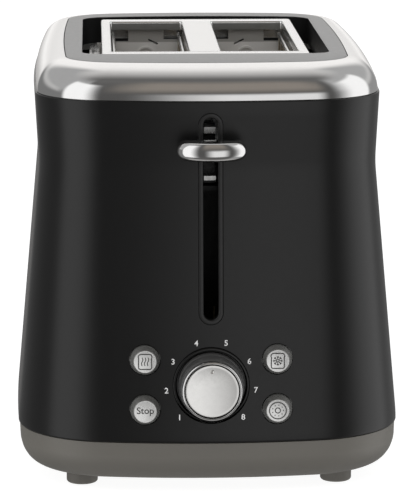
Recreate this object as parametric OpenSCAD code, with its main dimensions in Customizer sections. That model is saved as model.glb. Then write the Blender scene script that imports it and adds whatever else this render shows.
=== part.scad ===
// Two-slice pop up toaster with a front lever, a browning dial and four buttons.
// Millimetres, +Z up, the front faces -Y. The origin is the bottom centre of the bounding box.

/* [Casing] */
// Width of the casing where it is widest, just above the base
body_w = 184.6; // [182:0.1:188]
// Length of the casing from front to rear
body_l = 278.6; // [274:0.1:284]
// Radius of the casing's upright corners in plan
corner_r = 47.5; // [44:0.5:50]
// Radius of the bowed front and rear in plan
bow_r = 310; // [280:5:360]
// Radius of the nearly straight sides in plan
side_r = 2200; // [1800:50:3000]
// Height at which the casing is widest
flare_z = 28.5; // [28:0.1:30]
// Inward lean of the walls below the waist, in mm per mm
lower_lean = 0.0904; // [0.08:0.001:0.1]
// Outward lean of the walls above the waist, in mm per mm
upper_lean = 0.0525; // [0.04:0.001:0.06]
// Half-length of the soft bend at the waist
waist_bend = 5; // [3:0.5:8]
// Half-width of the casing at its top rim
rim_half_w = 83; // [82:0.1:84]
// Height of the top rim
rim_z = 183.8; // [182:0.1:185]
// Wall thickness of the casing
wall = 2.4; // [2:0.1:2.6]

/* [Top] */
// Height of the flat top
top_z = 199.5; // [198.5:0.1:201]
// Half-width of the flat trim ring
trim_half_w = 68.1; // [67:0.1:69]
// Half-length of the flat trim ring
trim_half_l = 110; // [108:0.5:112]
// Corner radius of the flat trim ring
trim_corner_r = 26; // [24:0.5:28]
// Half-width of the opening in the trim ring
opening_half_w = 59; // [58:0.1:60]
// Front edge of the opening, measured from the casing's middle
opening_front = 74.8; // [74.6:0.1:76]
// Rear edge of the opening, measured from the casing's middle
opening_rear = 93; // [91:0.5:95]
// Half-width of the slot plate
plate_half_w = 49.6; // [49.2:0.1:50]
// Front edge of the slot plate
plate_front = 74; // [73.5:0.1:74.2]
// Rear edge of the slot plate
plate_rear = 79; // [78:0.5:80]
// Distance from the middle to a slot's inner edge
slot_inner = 7.6; // [7.2:0.1:8]
// Width of a bread slot
slot_w = 37.1; // [36:0.1:38]
// Front end of the bread slots
slot_front = 64; // [63:0.5:65]
// Rear end of the bread slots
slot_rear = 69; // [68:0.5:69.5]

/* [Base] */
// Height of the seam between the casing and the base
seam_z = 25.2; // [25:0.1:25.4]
// Height of the underside of the base
base_z = 6; // [5:0.5:7]
// Height at which the base starts to round in
round_z = 20; // [19:0.5:21]
// How far the rounded lower edge goes in
round_in = 11; // [10:0.5:12]
// Radius of a foot
foot_r = 7.4; // [7:0.1:8]
// Distance from the middle to a foot, across
foot_x = 60.2; // [58:0.1:62]
// Distance from the middle to a foot, lengthwise
foot_y = 109.3; // [107:0.1:111]

/* [Lever] */
// Height of the lever at rest
lever_z = 163.2; // [162:0.1:164]
// How far the lever travels down
lever_travel = 72; // [68:0.5:73]
// Width of the lever handle
handle_w = 32; // [28:0.5:34]
// Height of the lever handle
handle_h = 8.6; // [8:0.1:9.5]
// Lowest point of the lever slot
lever_slot_low = 82.6; // [82:0.1:83]
// Highest point of the lever slot
lever_slot_high = 176.3; // [176:0.1:177]
// Width of the lever slot
lever_slot_w = 7; // [6.6:0.1:7.4]

/* [Controls] */
// Height of the dial's axis
dial_z = 52.3; // [51:0.1:53]
// Radius of the dial's surround
dial_surround_r = 17.7; // [17.2:0.1:18]
// Radius of the dial's bright ring
dial_r = 13.85; // [13.5:0.05:14.1]
// Distance from the middle to the buttons, across
button_x = 30.7; // [30:0.1:31.5]
// Height of the upper buttons
button_high_z = 64.1; // [63.5:0.1:64.5]
// Height of the lower buttons
button_low_z = 41; // [40.5:0.1:41.5]
// Radius of a button
button_r = 6.9; // [6.6:0.1:7]
// How far a button stands out
button_proud = 4.3; // [3.8:0.1:4.6]

/* [Mechanism] */
// Distance from the middle to a bread chamber's middle
chamber_x = 26.15; // [26:0.05:26.3]
// Height of the bread lifts at rest
lift_z = 118; // [116:0.5:119]
// Height of the guide cages' hinge rods
cage_low_z = 54; // [53:0.5:55]
// Height of the guide cages' top rods
cage_high_z = 192; // [191.5:0.1:192.2]
// Distance from the middle to the guide rods
rod_x = 14; // [13:0.5:15]

/* [Hidden] */

// Front-to-rear shift that centres the bounding box on the origin
frame_y = 5.94;
eps = 0.01;
// Gap between parts that sit in each other
fit_gap = 0.1;
fine = 64;
body_hw = body_w / 2;
body_hl = body_l / 2;

// Plan outline resolution, in steps per stretch of a quarter
side_steps = 4;
corner_steps = 11;
front_steps = 5;

// Controls, front to rear
board_y = -114.6;
board_t = 1.6;
switch_h = 4.3;
plunger_h = 1;
button_travel = 1.5;
stem_gap = 0.3;
stem_r = 2.4;
stem_end_y = board_y - switch_h - plunger_h - button_travel - stem_gap;
carrier_y = -126.8;
carrier_t = 2;
button_flange_in = 4.3;
button_flange_t = 1.2;
button_hole_r = button_r + 0.35;
shaft_r = 3;
shaft_gap = 0.05;
shaft_ease = 0.02;
dish_y = -134.4;
knob_back_y = -135;
knob_front_y = -150;
knob_neck_y = -146.4;

// Lever and carriage
handle_front_y = -153;
handle_back_y = -138.5;
arm_half_w = 2.75;
arm_post_y = -112;
arm_post_t = 6;
carriage_y = -89.5;
carriage_t = 1.5;
carriage_low_z = 142;
carriage_high_z = 172;
rod_y = -84;
rod_r = 2.5;
rod_low_z = 28;
rod_high_z = 187;
rod_gap = 0.06;
bracket_low_z = 30;
bracket_high_z = 184;
spring_x = 24;
spring_y = -96;
spring_top_z = 182;
spring_low_z = 150;

// Chassis
front_plate_y = -69.4;
rear_plate_y = 71.2;
sheet = 0.8;
plate_top_z = top_z - 1.3;
chassis_hw = 51.5;
chassis_top_hw = 48.1;
chassis_step_z = 188;
leg_hw = 65.2;
leg_in = 60;
leg_top_z = 24;
leg_screw_x = (leg_in + leg_hw) / 2;
leg_screw_out = 5;
floor_t = 2.4;
floor_z = base_z + floor_t;
reflector_x = 50.5;
lift_slot_low = lift_z - lever_travel - 10;
board_inner_x = 3.55;
board_outer_x = 47.55;
mica_t = 0.7;
board_low_z = 46;
board_high_z = 186;
board_tab_zs = [70, 160];
board_tab_h = 6;
cage_inner_x = 8.9;
cage_outer_x = 43.4;
cage_rod_r = 1.1;
cage_wire_r = 0.9;
pivot_gap = 0.06;
post_x = 72;
post_y = 72;

// ---------- shapes used in many places ----------

module in_frame() {
    translate([0, frame_y, 0]) children();
}

// A cylinder along Y, from y to y + length
module along_y(r, y, length) {
    translate([0, y + length, 0]) rotate([90, 0, 0]) cylinder(r = r, h = length, $fn = fine);
}

// Puts its children at the four screw posts
module at_posts(z) {
    for (sx = [-1, 1], sy = [-1, 1]) translate([sx * post_x, sy * post_y, z]) children();
}

// Puts its children at the screws of the chassis plates' feet
module at_leg_screws(z) {
    for (sx = [-1, 1], y = [front_plate_y - leg_screw_out, rear_plate_y + leg_screw_out])
        translate([sx * leg_screw_x, y, z]) children();
}

module box(low, high) {
    translate(low) cube(high - low);
}

function arc(c, r, a0, a1, n) =
    [for (i = [0:n - 1]) let (a = a0 + (a1 - a0) * i / n) c + r * [cos(a), sin(a)]];

// Centre of the corner arc that is tangent to the side arc and to the front arc
function corner_centre(hw, hl, rf, rs, rc) =
    let (front_c = [0, rf - hl], side_c = [hw - rs, 0])
    let (d = norm(side_c - front_c), u = (side_c - front_c) / d)
    let (r1 = rf - rc, r2 = rs - rc, a = (r1 * r1 - r2 * r2 + d * d) / (2 * d))
    front_c + a * u + sqrt(r1 * r1 - a * a) * [-u[1], u[0]];

// Quarter of the plan outline, from the middle of the right side to the middle of the front
function quarter(hw, hl, rf, rs, rc) =
    let (c = corner_centre(hw, hl, rf, rs, rc), front_c = [0, rf - hl], side_c = [hw - rs, 0])
    let (side_a = atan2(c[1], c[0] - side_c[0]), front_a = atan2(c[1] - front_c[1], c[0]))
    concat(
        arc(side_c, rs, 0, side_a, side_steps),
        arc(c, rc, side_a, front_a, corner_steps),
        arc(front_c, rf, front_a, -90, front_steps),
        [[0, -hl]]
    );

// Whole outline, clockwise from above
function outline(hw, hl, rf, rs, rc) =
    let (q = quarter(hw, hl, rf, rs, rc), n = len(q) - 1)
    concat(
        [for (i = [0:n - 1]) q[i]],
        [for (i = [n:-1:1]) [-q[i][0], q[i][1]]],
        [for (i = [0:n - 1]) -q[i]],
        [for (i = [n:-1:1]) [q[i][0], -q[i][1]]]
    );

function lift_ring(points, z) = [for (p = points) [p[0], p[1], z]];
function casing_outline(inset) =
    outline(body_hw - inset, body_hl - inset, bow_r - inset, side_r - inset, corner_r - inset);
function casing_ring(inset, z) = lift_ring(casing_outline(inset), z);
function trim_outline(inset) =
    outline(trim_half_w - inset, trim_half_l - inset, bow_r - inset, side_r - inset, trim_corner_r - inset);

function skin(m, n) = [
    for (i = [0:m - 1], j = [0:n - 1])
        let (a = i * n + j, b = i * n + (j + 1) % n, c = (i + 1) * n + (j + 1) % n, d = (i + 1) * n + j)
        each [[a, b, c], [a, c, d]]
];

// Solid through a stack of rings, closed by a flat cap on the first and the last
module capped_loft(rings) {
    n = len(rings[0]);
    m = len(rings);
    polyhedron(
        points = [for (r = rings) each r],
        faces = concat(skin(m - 1, n), [[for (j = [n - 1:-1:0]) j]], [[for (j = [0:n - 1]) (m - 1) * n + j]])
    );
}

// Solid through a cycle of rings, the last joined to the first
module ring_loft(rings) {
    n = len(rings[0]);
    m = len(rings);
    polyhedron(
        points = [for (r = rings) each r],
        faces = [for (f = skin(m, n)) [for (k = f) k % (m * n)]]
    );
}

// ---------- casing profile ----------

function lower_half_w(z) = body_hw - lower_lean * (z - flare_z);
function upper_half_w(z) = rim_half_w - upper_lean * (rim_z - z);
lean_change = lower_lean + upper_lean;
waist_z = (body_hw + lower_lean * flare_z - rim_half_w + upper_lean * rim_z) / lean_change;
function waist_soft(z) =
    let (t = (z - waist_z) / waist_bend)
    (lower_half_w(z) + upper_half_w(z)) / 2 + lean_change * waist_bend / 4 * (1 + t * t);
function casing_half_w(z) =
    abs(z - waist_z) < waist_bend ? waist_soft(z) : max(lower_half_w(z), upper_half_w(z));
// Distance the casing stands in from its widest outline
function casing_inset(z) = body_hw - casing_half_w(z);
rim_inset = body_hw - rim_half_w;
// The casing's front surface at a place across and a height; the rear is its mirror image
function front_y(x, z) = bow_r - body_hl - sqrt(pow(bow_r - casing_inset(z), 2) - x * x);

bend_steps = 4;
straight_zs = [flare_z, 60, 100];
wall_zs = concat(straight_zs, [for (i = [-bend_steps:bend_steps]) waist_z + waist_bend * i / bend_steps]);

// The casing's outside as a plain solid, grown outwards by proud
module casing_block(proud) {
    capped_loft([for (z = concat(wall_zs, [rim_z])) casing_ring(casing_inset(z) - proud, z)]);
}

module stadium_prism(w, low_z, high_z, y0, y1) {
    translate([0, y1, 0]) rotate([90, 0, 0]) linear_extrude(y1 - y0) {
        translate([0, low_z + w / 2]) circle(d = w, $fn = fine);
        translate([0, high_z - w / 2]) circle(d = w, $fn = fine);
        translate([-w / 2, low_z + w / 2]) square([w, high_z - low_z - w]);
    }
}

button_places = [
    [-button_x, button_high_z], [-button_x, button_low_z],
    [button_x, button_high_z], [button_x, button_low_z],
];
liner_rim = 2.1;
liner_w = lever_slot_w + 2 * liner_rim;
liner_gap = 0.2;
gland_x = -44;
gland_z = 44;
gland_hole_r = 5.6;

// Puts its children on the casing's rear wall, with their +Z pointing out of it
module on_rear_wall(x, z) {
    translate([x, -front_y(x, z), z])
        rotate([-90 + atan(lower_lean), 0, -asin(x / bow_r)]) children();
}

module body_shell() {
    // Rounded lower edge, as [inset, height above the seam]
    edge = [[0.65, 0.2], [0.2, 1.2]];
    rim_round = 0.5;
    rim_ease = 0.03;
    hole_l = 20;
    slot_l = 30;
    boss_top = 50;
    post_r = 4.2;
    post_low_z = 16.4;
    pilot_r = 1.5;
    pilot_l = 17;
    rib_l = 20;
    rib_t = 2.4;
    rib_low = 30.5;
    peg_x = 36.5;
    peg_r = 2.8;
    outer = concat([for (e = edge) casing_ring(e[0], seam_z + e[1])],
        [for (z = wall_zs) casing_ring(casing_inset(z), z)],
        [casing_ring(rim_inset + rim_ease, rim_z - rim_round), casing_ring(rim_inset + rim_round, rim_z)]);
    inner = concat([for (z = [rim_z, waist_z, flare_z]) casing_ring(casing_inset(z) + wall, z)],
        [casing_ring(wall, seam_z + edge[0][1])]);
    color("#232323") in_frame() {
        difference() {
            ring_loft(concat(outer, inner));
            stadium_prism(liner_w + 2 * liner_gap, lever_slot_low - liner_rim - liner_gap,
                lever_slot_high + liner_rim + liner_gap, -body_hl, -body_hl + slot_l);
            translate([0, 0, dial_z]) along_y(dial_surround_r + liner_gap, -body_hl - 1, hole_l);
            for (p = button_places)
                translate([p[0], 0, p[1]]) along_y(button_hole_r, -body_hl - 1, hole_l);
            on_rear_wall(gland_x, gland_z) cylinder(r = gland_hole_r, h = hole_l, center = true, $fn = fine);
        }
        // Screw posts, tied to the side walls by ribs, and two pegs behind the front for the button carrier
        difference() {
            union() {
                at_posts(post_low_z) cylinder(r = post_r, h = boss_top - post_low_z, $fn = fine);
                intersection() {
                    casing_block(-wall / 2);
                    union() {
                        for (sx = [-1, 1], sy = [-1, 1])
                            translate([sx * (post_x + rib_l / 2), sy * post_y, (rib_low + boss_top) / 2])
                                cube([rib_l, rib_t, boss_top - rib_low], center = true);
                        for (s = [-1, 1])
                            translate([s * peg_x, 0, dial_z]) along_y(peg_r, -body_hl, body_hl + carrier_y);
                    }
                }
            }
            at_posts(post_low_z - 1) cylinder(r = pilot_r, h = pilot_l + 1, $fn = fine);
        }
    }
}

// ---------- bright shoulder, trim ring and slot plate ----------

dome_steps = 8;
sheet_metal = 1.1;
shoulder_z = rim_z + 0.3;

function blend_rings(a, b, s, z) =
    [for (i = [0:len(a) - 1]) [a[i][0] * (1 - s) + b[i][0] * s, a[i][1] * (1 - s) + b[i][1] * s, z]];
// A ring of the bull-nosed shoulder: angle 0 is the upright foot of the dome, 90 its level top
function dome_ring(rim_in, trim_out, z0, z1, angle) =
    blend_rings(casing_outline(rim_in), trim_outline(-trim_out), 1 - cos(angle), z0 + (z1 - z0) * sin(angle));

module shoulder_trim() {
    foot_in = rim_inset + 0.9;
    lip = 0.4;
    lip_depth = 2.8;
    skirt_in = rim_inset + wall + 0.3;
    skirt_z = rim_z - 5;
    dome_z = top_z - fit_gap;
    outer = [for (k = [0:dome_steps]) dome_ring(foot_in, lip, shoulder_z, dome_z, 90 * k / dome_steps)];
    inner = [for (k = [dome_steps:-1:1])
        dome_ring(foot_in + sheet_metal, lip + sheet_metal, shoulder_z + sheet_metal, dome_z - sheet_metal,
            90 * k / dome_steps)];
    turned = [for (out = [lip, lip + sheet_metal]) lift_ring(trim_outline(-out), top_z - lip_depth)];
    skirt = [
        casing_ring(skirt_in + sheet_metal, shoulder_z + sheet_metal),
        casing_ring(skirt_in + sheet_metal, skirt_z),
        casing_ring(skirt_in, skirt_z),
        casing_ring(skirt_in, shoulder_z),
    ];
    color("#d8d8d8") in_frame() ring_loft(concat(outer, turned, inner, skirt));
}

// Outline of the opening: straight front and sides, bowed rear
module opening_2d(grow) {
    front_r = 8;
    rear_r = 13;
    steps = 8;
    hw = opening_half_w + grow;
    front = opening_front + grow;
    rear = opening_rear + grow;
    rear_c = [0, rear - bow_r];
    // Centre of the rear corner, tangent to the side and inside the bow
    cx = hw - rear_r;
    cy = rear_c[1] + sqrt(pow(bow_r - rear_r, 2) - cx * cx);
    bow_a = atan2(cy - rear_c[1], cx);
    polygon(concat(
        arc([hw - front_r, front_r - front], front_r, -90, 0, steps),
        arc([cx, cy], rear_r, 0, bow_a, steps),
        arc(rear_c, bow_r, bow_a, 180 - bow_a, 2 * steps),
        arc([-cx, cy], rear_r, 180 - bow_a, 180, steps),
        arc([front_r - hw, front_r - front], front_r, 180, 270, steps),
        [[front_r - hw, -front]]
    ));
}

module top_bezel() {
    ring_t = 2.2;
    flange_t = 1.4;
    flange_z = 186;
    color("#9a9a9a") in_frame() {
        translate([0, 0, top_z - ring_t]) linear_extrude(ring_t) difference() {
            polygon(trim_outline(fit_gap));
            opening_2d(0);
        }
        translate([0, 0, flange_z]) linear_extrude(top_z - ring_t - flange_z) difference() {
            opening_2d(flange_t);
            opening_2d(0);
        }
    }
}

module rounded_square(low, high, r) {
    hull() for (x = [low[0] + r, high[0] - r], y = [low[1] + r, high[1] - r])
        translate([x, y]) circle(r = r, $fn = fine / 2);
}

module slot_2d(side, grow) {
    x0 = side > 0 ? slot_inner : -slot_inner - slot_w;
    translate([x0 - grow, -slot_front - grow]) square([slot_w + 2 * grow, slot_front + slot_rear + 2 * grow]);
}

module slot_plate() {
    sheet_t = 1.2;
    corner = 2.2;
    notch = 4.8;
    skirt_z = 189.5;
    lip_z = top_z - 4.5;
    top = top_z - fit_gap;
    low = [-plate_half_w, -plate_front];
    high = [plate_half_w, plate_rear];
    color("#e4e4e4") in_frame() {
        translate([0, 0, top - sheet_t]) linear_extrude(sheet_t) difference() {
            rounded_square(low, high, corner);
            for (s = [-1, 1]) slot_2d(s, 0);
        }
        translate([0, 0, skirt_z]) linear_extrude(top - sheet_t - skirt_z) difference() {
            rounded_square(low, high, corner);
            rounded_square(low + [sheet_t, sheet_t], high - [sheet_t, sheet_t], corner - 1);
            // The folded edges stop short of the four corners
            for (x = [low[0], high[0]], y = [low[1], high[1]]) translate([x, y]) square(notch, center = true);
        }
        for (s = [-1, 1]) translate([0, 0, lip_z]) linear_extrude(top - sheet_t - lip_z) difference() {
            slot_2d(s, sheet);
            slot_2d(s, 0);
        }
    }
}

// ---------- base ----------

side_in = 0.8;
seam_out = 0.15;
function base_inset(z) =
    z >= round_z ? side_in - seam_out * (z - round_z) / (seam_z - round_z)
                 : side_in + round_in * (1 - sqrt(1 - pow((round_z - z) / (round_z - base_z), 2)));
round_steps = 7;
base_zs = concat(
    [for (k = [0:round_steps]) round_z - (round_z - base_z) * cos(90 * k / round_steps)], [seam_z - fit_gap]);
tray_hw = 61.5;
tray_low_z = 8.6;
tray_high_z = 19.6;
tray_rear_y = 124;

module base_block(zs) {
    capped_loft([for (z = zs) casing_ring(base_inset(z), z)]);
}

// A row of slots across the floor, evenly spaced between -half_w and half_w
module vent_row(half_w, y0, y1) {
    count = 9;
    w = 3;
    for (i = [0:count - 1])
        translate([-half_w + (2 * half_w - w) * i / (count - 1), y0, base_z - 1])
            cube([w, y1 - y0, floor_t + 2]);
}

module base_tray() {
    lip_in = wall + 0.35;
    lip_t = 1.8;
    lip_z = 29.4;
    // Inside of the rounded wall, as [inset, height]
    hollow = [[6.8, 12.5], [11.8, floor_z]];
    mouth_y = [105, 145];
    vent_hw = 44;
    front_vents = [-106, -82];
    rear_vents = [82, 104];
    recess_r = 4.2;
    recess_h = 6;
    foot_hole_r = 3.1;
    pilot_r = 1.4;
    pilot_depth = 1.2;
    boss_r = 6.4;
    boss_z = 16.2;
    shank_hole_r = 1.9;
    inner = [
        casing_ring(lip_in, seam_z - fit_gap), casing_ring(lip_in, lip_z),
        casing_ring(lip_in + lip_t, lip_z), casing_ring(lip_in + lip_t, round_z),
        for (h = hollow) casing_ring(h[0], h[1]),
    ];
    color("#64625c") in_frame() {
        difference() {
            capped_loft(concat([for (z = base_zs) casing_ring(base_inset(z), z)], inner));
            // Way out for the crumb tray
            box([-tray_hw, mouth_y[0], tray_low_z], [tray_hw, mouth_y[1], tray_high_z]);
            for (row = [front_vents, rear_vents]) vent_row(vent_hw, row[0], row[1]);
            at_posts(base_z - 1) cylinder(r = recess_r, h = recess_h, $fn = fine);
            for (sx = [-1, 1], sy = [-1, 1])
                translate([sx * foot_x, sy * foot_y, base_z - 1])
                    cylinder(r = foot_hole_r, h = recess_h, $fn = fine);
            // Blind holes for the chassis screws
            at_leg_screws(floor_z - pilot_depth) cylinder(r = pilot_r, h = pilot_depth + 1, $fn = fine);
        }
        // Screw bosses under the casing's posts
        difference() {
            at_posts(floor_z - 1) cylinder(r = boss_r, h = boss_z - floor_z + 1, $fn = fine);
            at_posts(base_z - 1) cylinder(r = recess_r, h = recess_h, $fn = fine);
            at_posts(0) cylinder(r = shank_hole_r, h = boss_z + 1, $fn = fine);
        }
    }
}

module foot() {
    edge = 1.4;
    edge_steps = 6;
    plug_r = 3;
    plug_z = 11;
    color("#5c5a55") rotate_extrude($fn = fine) polygon(concat(
        [[0, 0]],
        [for (k = [0:edge_steps])
            let (a = 90 * k / edge_steps) [foot_r - edge + edge * sin(a), edge - edge * cos(a)]],
        [[foot_r, base_z], [plug_r, base_z], [plug_r, plug_z], [0, plug_z]]
    ));
}

module foot_at(sx, sy) {
    in_frame() translate([sx * foot_x, sy * foot_y, 0]) foot();
}

module foot_front_left() { foot_at(-1, -1); }
module foot_front_right() { foot_at(1, -1); }
module foot_rear_left() { foot_at(-1, 1); }
module foot_rear_right() { foot_at(1, 1); }

module crumb_tray() {
    sheet_t = 0.9;
    low = [-57, -62, 9];
    high = [57, tray_rear_y, 17.5];
    color("#b8b8b6") in_frame() difference() {
        box(low, high);
        box(low + [sheet_t, sheet_t, sheet_t], high + [-sheet_t, -sheet_t, 1]);
    }
}

module crumb_tray_handle() {
    gap = 0.35;
    hw = tray_hw - gap;
    low_z = tray_low_z + gap;
    rear_y = 145;
    front_y = 100;
    // Finger grip under the tray's rear edge, with a groove for the fingertips
    grip_hw = 24;
    grip_y = [134, 141.1];
    grip_t = 2.2;
    groove_y = [137.2, 139.6];
    groove_z = low_z + 1.2;
    color("#64625c") in_frame() {
        difference() {
            intersection() {
                base_block(base_zs);
                box([-hw, front_y, low_z], [hw, rear_y, tray_high_z - gap]);
            }
            // Nothing in front of the tray's rear wall
            box([-hw - 1, front_y - 1, 0], [hw + 1, tray_rear_y, seam_z]);
        }
        difference() {
            box([-grip_hw, grip_y[0], low_z], [grip_hw, grip_y[1], low_z + grip_t]);
            box([-grip_hw + 2, groove_y[0], groove_z], [grip_hw - 2, groove_y[1], groove_z + grip_t]);
        }
    }
}

// A pan-head screw, its head's underside at z = 0 and its shank upwards
module screw(head_r, head_h, r, length) {
    recess = [head_r * 1.2, 0.8, 2];
    difference() {
        union() {
            translate([0, 0, -head_h]) cylinder(r = head_r, h = head_h, $fn = fine);
            cylinder(r = r, h = length, $fn = fine);
        }
        for (a = [0, 90]) rotate([0, 0, a]) translate([0, 0, -head_h]) cube(recess, center = true);
    }
}

module base_screws() {
    head_z = 11;
    color("#8c8c8c") in_frame() at_posts(head_z) screw(head_r = 3.6, head_h = 2.2, r = 1.5, length = 20);
}

// ---------- lever ----------

module lever_slot_liner() {
    proud = 0.4;
    back = wall + 1.2;
    depth = 30;
    color("#1b1b1b") in_frame() difference() {
        intersection() {
            casing_block(proud);
            stadium_prism(liner_w, lever_slot_low - liner_rim, lever_slot_high + liner_rim,
                -body_hl - 1, -body_hl + depth);
        }
        stadium_prism(lever_slot_w, lever_slot_low, lever_slot_high, -body_hl - 2, -body_hl + depth + 1);
        casing_block(-back);
    }
}

// A pillow: a round-ended bar whose front and edges are fully rounded
module lever_handle() {
    r = handle_h / 2;
    nose = 6.2;
    nose_back = 0.7;
    middle_stretch = 1.2;
    back_out = 1.4;
    back_r = r - 0.4;
    back_t = 1.6;
    end_x = handle_w / 2 - nose;
    round_fn = fine / 2;
    color("#d8d8d8") in_frame() translate([0, 0, lever_z]) difference() {
        hull() {
            for (s = [-1, 1]) {
                translate([s * end_x, handle_front_y + nose + nose_back, 0])
                    scale([nose / r, nose / r, 1]) sphere(r = r, $fn = round_fn);
                translate([s * (end_x + back_out), handle_back_y - back_t, 0])
                    rotate([-90, 0, 0]) cylinder(r = back_r, h = back_t, $fn = round_fn);
            }
            translate([0, handle_front_y + nose, 0])
                scale([middle_stretch, nose / r, 1]) sphere(r = r, $fn = round_fn);
        }
        box([-arm_half_w, arm_front_y, arm_low_z - lever_z],
            [arm_half_w, handle_back_y + 1, arm_top_z - lever_z]);
    }
}

arm_top_z = lever_z;
arm_low_z = lever_z - 3.6;
post_low_z = 143.5;
post_high_z = 171;
arm_front_y = -145;

module lever_arm() {
    w = arm_half_w;
    tab_y = arm_post_y - 7;
    tab_zs = [[145.7, 147.7], [167.6, 170.6]];
    web_zs = [154, 160];
    color("#a6a6a6") in_frame() {
        // Neck through the slot
        box([-w, arm_front_y, arm_low_z], [w, arm_post_y + eps, arm_top_z]);
        box([-w, arm_post_y, post_low_z], [w, arm_post_y + arm_post_t, post_high_z]);
        // Tabs that run in the slot's back edge and keep the handle level
        for (z = tab_zs) box([-w, tab_y, z[0]], [w, arm_post_y + eps, z[1]]);
        box([-w, arm_post_y + arm_post_t - eps, web_zs[0]], [w, carriage_y, web_zs[1]]);
    }
}

module carriage_bracket() {
    hw = 33;
    height = carriage_high_z - carriage_low_z;
    tube_r = 4.8;
    arm_t = 1.5;
    arm_end_y = -52;
    arm_low = lift_z - 8;
    arm_high = lift_z - 1;
    upright_l = 10;
    upright_top = carriage_low_z + 6;
    anchor_hw = 2;
    anchor_zs = [spring_low_z - 2, spring_low_z - 0.4];
    color("#b0b0ae") in_frame() difference() {
        union() {
            box([-hw, carriage_y, carriage_low_z], [hw, carriage_y + carriage_t, carriage_high_z]);
            for (s = [-1, 1]) {
                translate([s * rod_x, rod_y, carriage_low_z]) cylinder(r = tube_r, h = height, $fn = fine);
                translate([s * chamber_x - arm_t / 2, carriage_y, arm_low]) {
                    cube([arm_t, upright_l, upright_top - arm_low]);
                    cube([arm_t, arm_end_y - carriage_y, arm_high - arm_low]);
                }
            }
            // Spring anchor
            box([spring_x - anchor_hw, spring_y - anchor_hw, anchor_zs[0]],
                [spring_x + anchor_hw, carriage_y + eps, anchor_zs[1]]);
        }
        for (s = [-1, 1])
            translate([s * rod_x, rod_y, carriage_low_z - 1])
                cylinder(r = rod_r + rod_gap, h = height + 2, $fn = fine);
    }
}

module catch_plate() {
    hw = 10;
    low_z = 138.4;
    catch_t = 2.2;
    rear_y = carriage_y - 0.5;
    tab_hw = 8;
    tab_t = 1.6;
    tab_z = 150;
    color("#8f9296") in_frame() {
        box([-hw, magnet_front_y - 1, low_z], [hw, rear_y, low_z + catch_t]);
        box([-tab_hw, carriage_y - tab_t, low_z], [tab_hw, carriage_y, tab_z]);
    }
}

module bread_lift(side) {
    w = 11;
    rungs = 8;
    edge_w = 2.5;
    bar = 4;
    notch = 6;
    notch_t = 1;
    notch_h = 2.5;
    first_y = -62;
    last_y = 67;
    pitch = (last_y - first_y - 2 * bar) / (rungs - 1);
    tongue_hw = 1.2;
    tongue_y = 76;
    color("#b8b8b6") in_frame() translate([side * chamber_x, 0, 0]) {
        difference() {
            box([-w / 2, first_y, lift_z - 1], [w / 2, last_y, lift_z]);
            for (i = [0:rungs - 2])
                box([-w / 2 + edge_w, first_y + bar + 2 + pitch * i, lift_z - 2],
                    [w / 2 - edge_w, first_y + 2 + pitch * (i + 1), lift_z + 1]);
        }
        // Notched edges that hold the slice upright
        for (i = [0:rungs - 1], s = [-1, 1])
            translate([s * w / 2 - notch_t / 2, first_y + 1 + pitch * i, lift_z - 1])
                cube([notch_t, notch, notch_h + 1]);
        box([-tongue_hw, last_y - eps, lift_z - 1], [tongue_hw, tongue_y, lift_z]);
    }
}

module bread_lift_left() { bread_lift(-1); }
module bread_lift_right() { bread_lift(1); }

module guide_rods() {
    color("#c9c9c9") in_frame() for (s = [-1, 1])
        translate([s * rod_x, rod_y, rod_low_z]) cylinder(r = rod_r, h = rod_high_z - rod_low_z, $fn = fine);
}

module rod_bracket(z, tab_dir) {
    hw = 34;
    t = 1.5;
    tab_h = 7.5;
    rod_ease = 0.02;
    tab_zs = tab_dir > 0 ? [z, z + tab_h] : [z - tab_h, z + t];
    color("#b0b0ae") in_frame() difference() {
        union() {
            box([-hw, magnet_front_y - 1, z], [hw, front_plate_y, z + t]);
            box([-hw, front_plate_y - t, tab_zs[0]], [hw, front_plate_y, tab_zs[1]]);
        }
        for (s = [-1, 1])
            translate([s * rod_x, rod_y, z - 1]) cylinder(r = rod_r + rod_ease, h = t + 2, $fn = fine);
    }
}

module rod_bracket_top() { rod_bracket(bracket_high_z, -1); }
module rod_bracket_bottom() { rod_bracket(bracket_low_z, 1); }

// Tube swept along a list of points whose rings are given by a side vector at each point
module helix_wire(r, coil_r, low_z, high_z, turns, steps) {
    total = turns * steps;
    sides = 6;
    rings = [for (i = [0:total])
        let (a = 360 * i / steps, z = low_z + r + (high_z - low_z - 2 * r) * i / total)
        [for (k = [sides:-1:1])
            let (b = 360 * k / sides, out = coil_r + r * cos(b))
            [out * cos(a), out * sin(a), z + r * sin(b)]]];
    capped_loft(rings);
}

module return_spring() {
    color("#c0c0c0") in_frame() translate([spring_x, spring_y, 0])
        helix_wire(0.5, 3.2, spring_low_z, spring_top_z, turns = 17, steps = 10);
}

magnet_hw = 11.2;
magnet_z = 38.4;
magnet_sheet = 1.5;
magnet_front_y = -103;
core_z = magnet_z + 1.6;
leg_x = 5.6;

module magnet_core() {
    core = [22, 11, 26];
    gap = [4.2, 13, 30];
    yoke_h = 4;
    color("#74777b") in_frame() difference() {
        translate([-core[0] / 2, magnet_front_y, core_z]) cube(core);
        for (s = [-1, 1])
            translate([s * leg_x - gap[0] / 2, magnet_front_y - 1, core_z + yoke_h]) cube(gap);
    }
}

module magnet_coil() {
    low_z = 45;
    coil_h = 17;
    outer = [14.8, 17.8];
    inner = [7.2, 11.2];
    middle_y = -97.5;
    color("#a4562c") in_frame() translate([0, middle_y, low_z]) linear_extrude(coil_h) difference() {
        square(outer, center = true);
        square(inner, center = true);
    }
}

module magnet_bracket() {
    top = 50;
    color("#b0b0ae") in_frame() {
        box([-magnet_hw, magnet_front_y - 1, magnet_z], [magnet_hw, front_plate_y, magnet_z + magnet_sheet]);
        box([-magnet_hw, front_plate_y - magnet_sheet, magnet_z], [magnet_hw, front_plate_y, top]);
    }
}

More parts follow.
